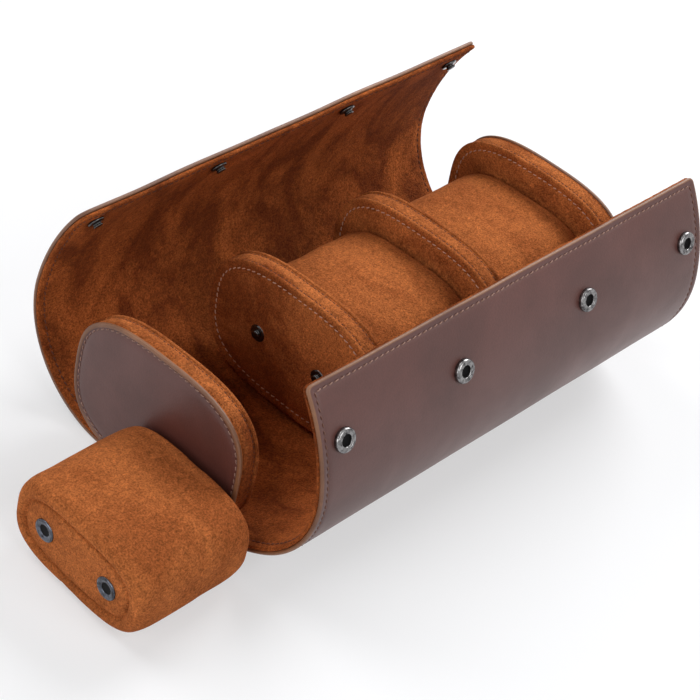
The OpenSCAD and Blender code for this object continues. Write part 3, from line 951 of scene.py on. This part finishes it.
class TRAVELROLL_OT_wrap_stitches(bpy.types.Operator):
    """Sew the row of stitches round the wrap, outside and inside"""

    bl_idname = "travelroll.wrap_stitches"
    bl_label = "Wrap stitching"

    def execute(self, context):
        form = WrapForm(context.scene.travel_roll_wrap)
        thread = context.scene.travel_roll_thread
        x, t, dx, dt = edge_row(form, thread)
        along = dx[:, None] * np.array([1.0, 0, 0]) + dt[:, None] * form.tangent(t)
        lengthwise = np.abs(dx) > np.abs(dt)
        for part in wrap_parts(form):
            here = (t >= part[1]) & (t < part[2])
            # Stitches down the wrap's ends take the darker side thread as painted shade for
            # their groove; those along the edges keep the plain thread.
            for row, chosen, depth_of, way, finish_name in (
                ("edge", here & lengthwise, form.leather_depth, -1, "thread"),
                ("side", here & ~lengthwise, form.leather_depth, -1, "thread_shade_and_wear"),
                ("inner", here, form.lining_depth, 1, "thread_dark"),
            ):
                xs, ts = x[chosen], t[chosen]
                if not len(xs):
                    continue
                piece = stitches(
                    f"stitches_{row}_{part[0]}", form.place(xs, ts, depth_of(xs, ts)),
                    along[chosen], form.inward(ts) * way, thread, FINISH[finish_name],
                )
                bend_with(piece, form, part)
        return {"FINISHED"}


# ---- snaps ---------------------------------------------------------------

SOCKET_PROFILE = (
    (0.0043, -0.0005), (0.00475, -0.0003), (0.0049, 0.0002), (0.0049, 0.0009),
    (0.0048, 0.0014), (0.00452, 0.00178), (0.0041, 0.00198), (0.0036, 0.00194),
    (0.00335, 0.00178), (0.0032, 0.0017), (0.0030, 0.00178), (0.00272, 0.00184),
    (0.0025, 0.0017), (0.00242, 0.0014), (0.0024, 0.0005), (0.0022, 0.00042),
    (0.0008, 0.0004),
)
PILLOW_SOCKET_PROFILE = (
    (0.0043, 0.0008), (0.0048, 0.0010), (0.0049, 0.0014), (0.0048, 0.00178),
    (0.0045, 0.00196), (0.0040, 0.0020), (0.0034, 0.00198), (0.0031, 0.00188),
    (0.0029, 0.00172), (0.0027, 0.0017), (0.00252, 0.0016), (0.00244, 0.0015),
    (0.0024, 0.00138), (0.0022, 0.00132), (0.0008, 0.0013),
)
BULB_PROFILE = (
    (0.00172, 0.00072), (0.00172, 0.00095), (0.00198, 0.00115), (0.0021, 0.0014),
    (0.00205, 0.00165), (0.00178, 0.00188), (0.0012, 0.00199), (0.0004, 0.00202),
)
LID_STUD_PROFILE = (
    (0.0030, -0.0013), (0.0034, -0.0009), (0.0036, -0.0004), (0.00355, 0.0),
    (0.0032, 0.0003), (0.0026, 0.00046), (0.0019, 0.00054),
) + BULB_PROFILE
DISC_STUD_PROFILE = (
    (0.0035, -0.0009), (0.00385, -0.0005), (0.0039, -0.0001), (0.00385, 0.00016),
    (0.00355, 0.00036), (0.0030, 0.00048), (0.0022, 0.00054), (0.0019, 0.0006),
) + BULB_PROFILE


def facing(place, axis, spin=0.0):
    """Stands local Z along the axis at the place."""
    turn_to = Vector(axis).to_track_quat("Z", "Y").to_matrix().to_4x4()
    return Matrix.Translation(Vector(place)) @ turn_to @ Matrix.Rotation(spin, 4, "Z")


def socket_form(profile):
    points, faces = lathe(profile)
    sides = len(points) // len(profile)
    # faces from the fourth-last ring on line the hole and take the near-black finish,
    # painted shade
    return (points, faces), sides * (len(profile) - 4)


class TRAVELROLL_OT_wrap_snaps(bpy.types.Operator):
    """Set the sockets in the front flap and the studs in the lid"""

    bl_idname = "travelroll.wrap_snaps"
    bl_label = "Wrap snaps"

    def execute(self, context):
        form = WrapForm(context.scene.travel_roll_wrap)
        shape, shade_start = socket_form(SOCKET_PROFILE)
        out = -form.inward(form.sockets)
        sockets = snap_row(
            "flap_sockets", shape,
            [facing(form.place(x, form.sockets, -0.00003), out) for x in form.snap_x],
            [FINISH["gunmetal"], FINISH["bore_shade_and_smear"]], shade_start,
        )
        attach(sockets, "front_tip")
        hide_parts("front_sockets")
        inward = form.inward(form.studs)
        studs = snap_row(
            "lid_studs_domed", lathe(LID_STUD_PROFILE),
            [
                facing(form.place(x, form.studs, form.s.thickness + 0.0001), inward)
                for x in form.snap_x
            ],
            [FINISH["enamel"]],
        )
        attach(studs, "lid_top")
        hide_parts("lid_studs")
        return {"FINISHED"}


# ---- discs ---------------------------------------------------------------


def disc_foot(d):
    """How far a tilted disc's foot lies below its middle."""
    angle = np.arange(60) * 2 * np.pi / 60
    c, s = np.cos(angle), np.sin(angle)
    y = d.width / 2 * np.sign(c) * np.abs(c) ** (2 / d.power)
    z = d.height / 2 * np.sign(s) * np.abs(s) ** (2 / d.power)
    return -float((z * math.cos(d.tilt) - y * math.sin(d.tilt)).min())


def at_disc(d, x, lean=0.0):
    """Stands a disc on the floor at x, tilted to the back, leaning on its seam."""
    seam = (d.thickness - 2 * d.face) * 0.3
    return (
        Matrix.Translation((x + seam, d.offset, d.foot_z))
        @ Matrix.Rotation(lean, 4, "Y")
        @ Matrix.Translation((-seam, 0, disc_foot(d)))
        @ Matrix.Rotation(-d.tilt, 4, "X")
    )


# (inset, height) over a face's rolled rim, and either side of its stitches
RIM_RINGS = (
    (0.0030, -0.0001), (0.0004, -0.0001), (0.0001, 0.0001), (0.0, 0.0004),
    (0.0, 0.0008), (0.00012, 0.00112), (0.0004, 0.00132), (0.0009, 0.0014),
    (0.0013, 0.00142),
)
SEAM_RINGS = (
    (-0.0007, 0.00124), (-0.00035, 0.00098), (0.0, 0.0009), (0.00035, 0.00098),
    (0.001, 0.00122), (0.0021, 0.00142), (0.0040, 0.00152), (0.0070, 0.00158),
)
FACE_SHARES = (0.84, 0.68, 0.52, 0.36, 0.2, 0.08)
# (depth, half width) round each stud
STUD_PUCKER = (0.0005, 0.0055)
FACE_TOP = SEAM_RINGS[-1][1]
RIM_COUNT = len(RIM_RINGS) + 1
DISC_COUNT = 128


def disc_face(name, d, side, matrix, inset_row, dome, materials, studs, seed):
    """A sewn, lightly padded face, with a rolled rim and a stitched channel."""
    a, b = d.width / 2, d.height / 2
    shares = np.arange(DISC_COUNT) / DISC_COUNT
    rings = []
    for inset, height in RIM_RINGS + tuple((i + inset_row, h) for i, h in SEAM_RINGS):
        ring = outline(a - inset, b - inset, d.power, shares)
        rings.append((ring, np.full(DISC_COUNT, height)))
    last = rings[-1][0]
    for q in FACE_SHARES:
        rings.append((last * q, np.full(DISC_COUNT, FACE_TOP + dome * (1 - q * q))))
    solid = []
    for k, (ring, height) in enumerate(rings):
        y, z = ring.T
        if k < RIM_COUNT:
            ring = ring * (1 + 0.0022 * waves(y, z, (0.06, 0.035), seed + 7))[:, None]
            y, z = ring.T
        else:
            height = height + 0.00012 * waves(y, z, (0.03, 0.019), seed)
            for sy, sz in studs:
                near = np.hypot(y - sy, z - sz)
                height = height - trough(STUD_PUCKER, near)
        x = (d.thickness / 2 - d.face + height) * side
        solid.append(np.stack([x, y, z], 1))
    points, faces = rings_mesh(solid)
    faces += end_faces(DISC_COUNT, len(solid))
    on_rim = range(DISC_COUNT, DISC_COUNT * RIM_COUNT)
    tone = [1 if min(f) in on_rim and max(f) in on_rim else 0 for f in faces]
    return add_mesh(name, moved(points, matrix), faces, materials, tone)


# (distance from the middle, inset) across half a band, with the seam's ridge
BAND_SEAM = (0.0028, 0.00078)
BAND_SECTION = (
    (-0.0038, 0.0035), (-0.0038, 0.0011), (-0.00365, 0.0007), (-0.0033, 0.00052),
    (-0.00305, 0.00066), (-BAND_SEAM[0], BAND_SEAM[1]), (-0.00255, 0.00062),
    (-0.0022, 0.00042), (-0.0012, 0.0003), (0.0, 0.00026),
)


def disc_band(name, d, matrix, material, seed):
    """The band round a disc: slightly puffed, with a seam beside each face."""
    a, b = d.width / 2, d.height / 2
    shares = np.arange(DISC_COUNT) / DISC_COUNT
    section = list(BAND_SECTION) + [(-x, i) for x, i in BAND_SECTION[-2::-1]]
    rings = []
    for x, inset in section:
        ring = outline(a - inset, b - inset, d.power, shares)
        uneven = 0.0018 * waves(ring[:, 0], ring[:, 1], (0.05, 0.03), seed)
        ring = ring * (1 + uneven)[:, None]
        rings.append(np.column_stack([np.full(DISC_COUNT, x), ring]))
    points, faces = rings_mesh(rings, closed_loop=True)
    return add_mesh(name, moved(points, matrix), faces, [material])


def row_on_outline(a, b, power, pitch):
    """Places, headings and outward directions of a row on a rounded outline."""
    count = int(outline_length(a, b, power) / pitch)
    shares = (np.arange(count) + 0.5) / count
    p = outline(a, b, power, shares)
    ahead = outline(a, b, power, np.clip(shares + 0.002, 0, 1))
    behind = outline(a, b, power, np.clip(shares - 0.002, 0, 1))
    along = ahead - behind
    along = along / np.hypot(*along.T)[:, None]
    return p, along, np.stack([along[:, 1], -along[:, 0]], 1)


def face_stitches(name, d, side, matrix, inset_row, thread, material):
    a, b = d.width / 2 - inset_row, d.height / 2 - inset_row
    p, along, _ = row_on_outline(a, b, d.power, thread.pitch)
    x = np.full(len(p), (d.thickness / 2 - d.face + 0.00088) * side)
    turn_only = Matrix(matrix).to_3x3().to_4x4()
    up = moved(np.tile([float(side), 0.0, 0.0], (len(p), 1)), turn_only)
    heading = moved(np.column_stack([np.zeros(len(p)), along]), turn_only)
    return stitches(
        name, moved(np.column_stack([x, p]), matrix), heading, up, thread, material
    )


class FineThread:
    """Thinner thread for the seams of the bands."""

    stitch, pitch, radius, slant = 0.0014, 0.0021, 0.0002, 0.1


def band_stitches(name, d, x_places, matrix, material):
    inset = BAND_SEAM[1]
    p, along, out = row_on_outline(
        d.width / 2 - inset, d.height / 2 - inset, d.power, FineThread.pitch
    )
    turn_only = Matrix(matrix).to_3x3().to_4x4()
    places, heading, up = [], [], []
    for x in x_places:
        places.append(np.column_stack([np.full(len(p), x), p]))
        heading.append(np.column_stack([np.zeros(len(p)), along]))
        up.append(np.column_stack([np.zeros(len(p)), out]))
    return stitches(
        name, moved(np.concatenate(places), matrix),
        moved(np.concatenate(heading), turn_only), moved(np.concatenate(up), turn_only),
        FineThread, material,
    )


class TRAVELROLL_OT_discs(bpy.types.Operator):
    """Make the two padded end discs and the two padded dividers"""

    bl_idname = "travelroll.discs"
    bl_label = "Padded discs"

    def execute(self, context):
        d = context.scene.travel_roll_discs
        p = context.scene.travel_roll_pillows
        thread = context.scene.travel_roll_thread
        seam = BAND_SEAM[0]
        pair = [(-p.snap_y, p.lift), (p.snap_y, p.lift)]
        ends = ("outer_face", "inner_face")
        middle = ("left_face", "right_face")
        table = (
            ("left_end", "left_end", d.left_end, d.left_lean, ends, []),
            ("divider_1", "divider_1", d.divider_1, 0.0, middle, pair),
            ("divider_2", "wrap_base", d.divider_2, 0.0, middle, pair),
            ("right_end", "right_end", d.right_end, 0.0, ends[::-1], pair),
        )
        for k, (name, body, x, lean, sides, studs) in enumerate(table):
            matrix = at_disc(d, x, lean)
            for side, face in zip((-1, 1), sides):
                outer = face == "outer_face"
                skins = ["leather", "edge"] if outer else ["disc", "disc"]
                inset_row = thread.outer_face if outer else thread.suede_face
                piece = disc_face(
                    f"{name}_{face}_padded", d, side, matrix, inset_row,
                    0.0006 if outer else 0.0002, [FINISH[s] for s in skins],
                    studs if side < 0 else [], 20 + 3 * k + side,
                )
                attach(piece, body)
                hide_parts(f"{name}_{face}")
                row = face_stitches(
                    f"{name}_{face}_stitches", d, side, matrix, inset_row, thread,
                    FINISH["thread" if outer else "thread_light"],
                )
                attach(row, body)
            band = disc_band(f"{name}_band_puffed", d, matrix, FINISH["disc"], 40 + k)
            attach(band, body)
            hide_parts(f"{name}_band", f"{name}_core")
            places = {"left_end": [seam], "right_end": [-seam]}.get(name, [-seam, seam])
            fine = band_stitches(
                f"{name}_band_stitches", d, places, matrix, FINISH["thread_dark"]
            )
            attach(fine, body)
        return {"FINISHED"}


class TRAVELROLL_OT_disc_snaps(bpy.types.Operator):
    """Set a pair of domed studs in each disc that carries a pillow"""

    bl_idname = "travelroll.disc_snaps"
    bl_label = "Disc studs"

    def execute(self, context):
        d = context.scene.travel_roll_discs
        p = context.scene.travel_roll_pillows
        for name, body, x in (
            ("divider_1", "divider_1", d.divider_1),
            ("divider_2", "wrap_base", d.divider_2),
            ("right_end", "right_end", d.right_end),
        ):
            matrix = at_disc(d, x)
            places = [
                matrix @ Matrix.Translation((-d.thickness / 2, y, p.lift))
                @ Matrix.Rotation(-math.pi / 2, 4, "Y")
                for y in (-p.snap_y, p.snap_y)
            ]
            piece = snap_row(
                f"{name}_studs_domed", lathe(DISC_STUD_PROFILE), places, [FINISH["enamel"]]
            )
            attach(piece, body)
            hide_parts(f"{name}_studs")
        return {"FINISHED"}


# ---- pillows -------------------------------------------------------------

# (distance from the nearer end, inset) over a rolled end, from its seam
ROLL = (
    (0.0022, 0.0068), (0.0012, 0.0064), (0.00045, 0.0058), (0.0001, 0.0050),
    (0.0001, 0.0040), (0.0005, 0.0029), (0.0012, 0.0019), (0.0022, 0.0012),
)
# (share of the seam's outline, distance from the end) over an end panel
PANEL = (
    (0.99, 0.0016), (0.965, 0.0010), (0.91, 0.00065), (0.8, 0.00048), (0.68, 0.0004),
    (0.55, 0.0004), (0.42, 0.0004), (0.28, 0.0004), (0.12, 0.0004),
)


# over a pillow: length of its straight part's ends, most that it swells,
# depth of its flat ends, and the half widths that its stuffing fills there
SIDE_FROM, SWELL_LIMIT, END_DEPTH, END_HALF = 0.0038, 0.00028, 0.0013, (0.028, 0.012)
# (depth, half width) of the sides' draw at the ends, the cover's seam, a socket
END_DRAW, COVER_SEAM, SOCKET_PUCKER = (0.0012, 0.004), (0.0005, 0.0012), (0.0007, 0.0058)
# heights of the uneven stuffing and of the gathers at the ends
PUFF, PLEAT = 0.00022, 0.0001


def pillow_form(p, seam_share):
    """Points, quads and pinned points of a pillow, its socket end at x = 0."""
    count = 92
    shares = np.arange(count) / count
    close = np.array([-0.0058, -0.0028, 0.0, 0.0028, 0.0058]) + seam_share
    far = np.abs(shares[:, None] - close[None, :]).min(1) > 0.0048
    shares = np.sort(np.append(shares[far], close))
    a, b, n = p.width / 2, p.height / 2, len(shares)
    rings, pinned = [], []

    def ring(x, inset):
        swell = p.crown * (1 - math.sin(math.pi * min(max(x, 0), p.length) / p.length))
        o = outline(a - inset - swell, b - inset - swell, p.power, shares)
        rings.append(np.column_stack([np.full(n, -x), o]))

    def panel(x_of, seam):
        for q, x in seam:
            rings.append(np.column_stack([np.full(n, x_of(x)), edge * q]))

    start = ROLL[0][1] + p.crown
    edge = outline(a - start, b - start, p.power, shares)
    panel(lambda x: -x, PANEL[::-1])
    pinned += [len(rings)]
    for x, inset in ROLL:
        ring(x, inset - p.crown * 0.2)
    for x in np.linspace(SIDE_FROM, p.length - SIDE_FROM, 16):
        ring(x, trough(END_DRAW, min(x, p.length - x)))
    for x, inset in ROLL[::-1]:
        ring(p.length - x, inset - p.crown * 0.2)
    pinned += [len(rings) - 1]
    panel(lambda x: x - p.length, PANEL)
    points, faces = rings_mesh(rings)
    faces += end_faces(n, len(rings))
    seam_points = [k * n + i for k in pinned for i in range(n)]
    return points, [face[::-1] for face in faces], seam_points


def inflate(points, faces, pinned, cap):
    """Inflates a sewn form with a short cloth simulation, its seams pinned."""
    size = 6.0  # the simulated copy is this many times as large
    scene = bpy.context.scene
    mesh = bpy.data.meshes.new("inflating")
    mesh.from_pydata((points * size).tolist(), [], faces)
    mesh.update()
    body = bpy.data.objects.new("inflating", mesh)
    scene.collection.objects.link(body)
    body.vertex_groups.new(name="seam").add(pinned, 1.0, "REPLACE")
    cloth = body.modifiers.new("Cloth", "CLOTH")
    rules = cloth.settings
    rules.quality, rules.mass = 6, 0.3
    rules.tension_stiffness = rules.compression_stiffness = 14
    rules.shear_stiffness, rules.bending_stiffness = 6, 0.6
    rules.use_pressure, rules.uniform_pressure_force = True, 4.0
    rules.shrink_min = -0.02
    rules.vertex_group_mass = "seam"
    rules.effector_weights.gravity = 0
    cloth.point_cache.frame_start, cloth.point_cache.frame_end = 1, 20
    for step in range(1, 21):
        scene.frame_set(step)
    done = body.evaluated_get(bpy.context.evaluated_depsgraph_get()).to_mesh()
    found = np.array([v.co for v in done.vertices], float) / size
    scene.frame_set(1)
    bpy.data.objects.remove(body)
    bpy.data.meshes.remove(mesh)
    shift = found - points
    far = np.linalg.norm(shift, axis=1, keepdims=True)
    return points + shift * np.minimum(1, cap / np.maximum(far, 1e-9))


def pillow(name, p, matrix, seam_share, seed, on_table):
    """One stuffed pillow with rolled ends, an end seam and dimpled panels."""
    points, faces, pinned = pillow_form(p, seam_share)
    x, y, z = points.T
    at_end = (x > -END_DEPTH) | (x < END_DEPTH - p.length)
    flat = at_end & (np.hypot(y / END_HALF[0], z / END_HALF[1]) < 1)
    pinned = pinned + np.flatnonzero(flat).tolist()
    points = inflate(points, faces, pinned, SWELL_LIMIT)
    x, y, z = points.T.copy()
    around = np.arctan2(z, y)
    side = (x < -0.002) & (x > 0.002 - p.length)
    puff = PUFF * waves(x, around * 0.03, (0.03, 0.018), seed)
    gather = np.exp(-((np.minimum(-x, x + p.length) / 0.004) ** 2))
    pleat = PLEAT * np.sin(around * 37 + seed) * np.sin(around * 13)
    spread = np.where(side, puff, 0) + gather * pleat
    mid = outline(p.width / 2, p.height / 2, p.power, [seam_share])[0]
    off = np.hypot(y - mid[0], z - mid[1])
    spread = spread - np.where(side, trough(COVER_SEAM, off), 0)
    grow = 1 + spread / np.maximum(np.hypot(y, z), 0.004)
    y, z = y * grow, z * grow
    for sy in (-p.snap_y, p.snap_y):
        dip = trough(SOCKET_PUCKER, np.hypot(y - sy, z))
        x = np.where(x > -0.0012, x - dip, x)
    x = np.clip(x, -p.length - 0.0001, 0.0001)
    world = moved(np.column_stack([x, y, z]), matrix)
    if on_table:
        world[:, 2] = np.maximum(world[:, 2], 0.0001)
    cushion = add_mesh(name + "_cushion", world, faces, [FINISH["pillow"]])
    smooth = cushion.modifiers.new("Smooth", "SUBSURF")
    smooth.levels = smooth.render_levels = 1
    return cushion


def pillow_sockets(name, p, matrix):
    upright = Matrix.Rotation(math.pi / 2, 4, "Y")
    places = [
        matrix @ Matrix.Translation((-p.socket_seat, y, 0)) @ upright
        for y in (-p.snap_y, p.snap_y)
    ]
    shape, shade_start = socket_form(PILLOW_SOCKET_PROFILE)
    return snap_row(name, shape, places, [FINISH["blued"], FINISH["bore_shade_and_smear"]], shade_start)


class TRAVELROLL_OT_pillows(bpy.types.Operator):
    """Make the three stuffed pillows and their sockets"""

    bl_idname = "travelroll.pillows"
    bl_label = "Pillows"

    def execute(self, context):
        d = context.scene.travel_roll_discs
        p = context.scene.travel_roll_pillows
        loose = Matrix.Translation(
            (p.loose_x - p.length, p.loose_y, p.height / 2)
        ) @ Matrix.Rotation(math.pi, 4, "Z")
        offset = Matrix.Translation((-d.thickness / 2 - p.gap, 0, p.lift))
        for k, (name, matrix, seam_share) in enumerate(
            (
                ("pillow_1", loose, 0.72),
                ("pillow_2", at_disc(d, d.divider_2) @ offset, 0.19),
                ("pillow_3", at_disc(d, d.right_end) @ offset, 0.72),
            )
        ):
            cushion = pillow(name, p, matrix, seam_share, 60 + k, name == "pillow_1")
            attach(cushion, name)
            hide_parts(f"{name}_cover", f"{name}_panels", f"{name}_core")
            rings = pillow_sockets(name + "_socket_rings", p, matrix)
            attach(rings, name)
            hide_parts(f"{name}_sockets")
        return {"FINISHED"}


# ---- stage ---------------------------------------------------------------


# the camera at the photograph's viewing angle: turn, height and roll in degrees
VIEW_ANGLES = (-55.21, 40.79, 14.74)
VIEW_TARGET, VIEW_DISTANCE = (-0.01387, -0.00818, 0.02909), 0.9150
VIEW_LENS, VIEW_SENSOR = 115.86, 36.0
# (name, place, size, watts), all turned to the same point
LAMPS = (
    ("key_lamp", (1.1, 0.1, 1.0), 0.9, 21.0),
    ("back_lamp", (-0.35, 0.85, 1.05), 0.7, 6.5),
    ("left_lamp", (-1.25, -0.05, 0.6), 0.9, 6.0),
    ("front_lamp", (-0.1, -1.1, 1.0), 0.9, 7.5),
)
LAMP_AIM = (0, 0, 0.04)
# light from the world, half the floor's width, and where the floor fades
WORLD_LEVEL, FLOOR_HALF, FADE = 0.06, 4.0, (0.3, 0.9)
WHITE = (1.0, 1.0, 1.0, 1.0)


def add_lamp(name, place, size, watts):
    lamp = bpy.data.lights.new(name, "AREA")
    lamp.shape, lamp.size, lamp.energy = "SQUARE", size, watts
    holder = bpy.data.objects.new(name, lamp)
    holder.location = place
    heading = Vector(LAMP_AIM) - Vector(place)
    holder.rotation_euler = heading.to_track_quat("-Z", "Y").to_euler()
    bpy.context.scene.collection.objects.link(holder)


def seen_ray(tree):
    """1 for camera, glossy and transmission rays, otherwise 0."""
    path = tree.nodes.new("ShaderNodeLightPath")
    seen = calc(tree, "ADD", path.outputs["Is Camera Ray"], path.outputs["Is Glossy Ray"])
    seen = calc(tree, "ADD", seen, path.outputs["Is Transmission Ray"])
    return calc(tree, "MINIMUM", seen, 1.0)


def floor_material(colour):
    """Pale and shadowed near the roll, and fading to white further out."""
    material = bpy.data.materials.new("pale_floor")
    material.use_nodes = True
    tree = material.node_tree
    tree.nodes.clear()
    out = tree.nodes.new("ShaderNodeOutputMaterial")
    matt = tree.nodes.new("ShaderNodeBsdfDiffuse")
    feed(tree, matt, Color=rgba(colour))
    lit = tree.nodes.new("ShaderNodeEmission")
    feed(tree, lit, Color=WHITE, Strength=1.0)
    mix = tree.nodes.new("ShaderNodeMixShader")
    away = tree.nodes.new("ShaderNodeVectorMath")
    away.operation = "LENGTH"
    feed(tree, away, _0=tree.nodes.new("ShaderNodeTexCoord").outputs["Object"])
    fade = remap(tree, away.outputs["Value"], *FADE, 0.5, 1.0)
    part = calc(tree, "MULTIPLY", seen_ray(tree), fade)
    feed(tree, mix, Fac=part, _1=matt.outputs["BSDF"], _2=lit.outputs["Emission"])
    feed(tree, out, Surface=mix.outputs["Shader"])
    return material


class TRAVELROLL_OT_stage(bpy.types.Operator):
    """Set the camera, the pale floor and the plain soft light"""

    bl_idname = "travelroll.stage"
    bl_label = "Stage"

    def execute(self, context):
        scene = context.scene
        scene.view_settings.view_transform = "Standard"
        corners = ((-1, -1), (1, -1), (1, 1), (-1, 1))
        ring = [(x * FLOOR_HALF, y * FLOOR_HALF, 0) for x, y in corners]
        floor = add_mesh(
            "floor", ring, [[0, 1, 2, 3]], [floor_material(scene.travel_roll_finish.floor)]
        )
        floor.location.z = -0.0002
        for lamp in LAMPS:
            add_lamp(*lamp)

        world = scene.world or bpy.data.worlds.new("studio")
        scene.world = world
        world.use_nodes = True
        tree = world.node_tree
        tree.nodes.clear()
        out = tree.nodes.new("ShaderNodeOutputWorld")
        sky = tree.nodes.new("ShaderNodeBackground")
        level = remap(tree, seen_ray(tree), 0.0, 1.0, WORLD_LEVEL, 1.0)
        feed(tree, sky, Color=WHITE, Strength=level)
        feed(tree, out, Surface=sky.outputs["Background"])

        a, e, roll = (math.radians(angle) for angle in VIEW_ANGLES)
        back = Vector((math.sin(a) * math.cos(e), -math.cos(a) * math.cos(e), math.sin(e)))
        aside = Vector((math.cos(a), math.sin(a), 0))
        up = back.cross(aside)
        right = aside * math.cos(roll) + up * math.sin(roll)
        up = up * math.cos(roll) - aside * math.sin(roll)
        camera = bpy.data.cameras.new("photo_view")
        camera.sensor_width, camera.lens = VIEW_SENSOR, VIEW_LENS
        camera.clip_start, camera.clip_end = 0.02, 40.0
        holder = bpy.data.objects.new("photo_view", camera)
        turned = Matrix((right, up, back)).transposed().to_4x4()
        place = Vector(VIEW_TARGET) + back * VIEW_DISTANCE
        holder.matrix_world = Matrix.Translation(place) @ turned
        scene.collection.objects.link(holder)
        scene.camera = holder
        return {"FINISHED"}


class TRAVELROLL_PT_panel(bpy.types.Panel):
    """Lists the steps that dress the roll"""

    bl_idname = "TRAVELROLL_PT_panel"
    bl_label = "Travel Roll"
    bl_space_type = "VIEW_3D"
    bl_region_type = "UI"
    bl_category = "Travel Roll"

    def draw(self, context):
        for operator in OPERATORS:
            self.layout.operator(operator.bl_idname)
        for name, _ in GROUPS:
            box = self.layout.box()
            group = getattr(context.scene, name)
            for label in group.__annotations__:
                box.prop(group, label)


GROUPS = (
    ("travel_roll_wrap", TravelRollWrap),
    ("travel_roll_discs", TravelRollDiscs),
    ("travel_roll_pillows", TravelRollPillows),
    ("travel_roll_thread", TravelRollThread),
    ("travel_roll_finish", TravelRollFinish),
)
OPERATORS = (
    TRAVELROLL_OT_stage,
    TRAVELROLL_OT_leather,
    TRAVELROLL_OT_lining,
    TRAVELROLL_OT_wrap_stitches,
    TRAVELROLL_OT_wrap_snaps,
    TRAVELROLL_OT_discs,
    TRAVELROLL_OT_disc_snaps,
    TRAVELROLL_OT_pillows,
)


def register():
    for _, group in GROUPS:
        bpy.utils.register_class(group)
    for name, group in GROUPS:
        setattr(bpy.types.Scene, name, bpy.props.PointerProperty(type=group))
    for operator in OPERATORS:
        bpy.utils.register_class(operator)
    bpy.utils.register_class(TRAVELROLL_PT_panel)


def unregister():
    bpy.utils.unregister_class(TRAVELROLL_PT_panel)
    for operator in reversed(OPERATORS):
        bpy.utils.unregister_class(operator)
    for name, _ in GROUPS:
        delattr(bpy.types.Scene, name)
    for _, group in reversed(GROUPS):
        bpy.utils.unregister_class(group)


def main():
    register()
    FINISH.update(make_finishes(bpy.context.scene.travel_roll_finish))
    bpy.ops.travelroll.stage()
    bpy.ops.travelroll.leather()
    bpy.ops.travelroll.lining()
    bpy.ops.travelroll.wrap_stitches()
    bpy.ops.travelroll.wrap_snaps()
    bpy.ops.travelroll.discs()
    bpy.ops.travelroll.disc_snaps()
    bpy.ops.travelroll.pillows()


if __name__ == "__main__":
    main()
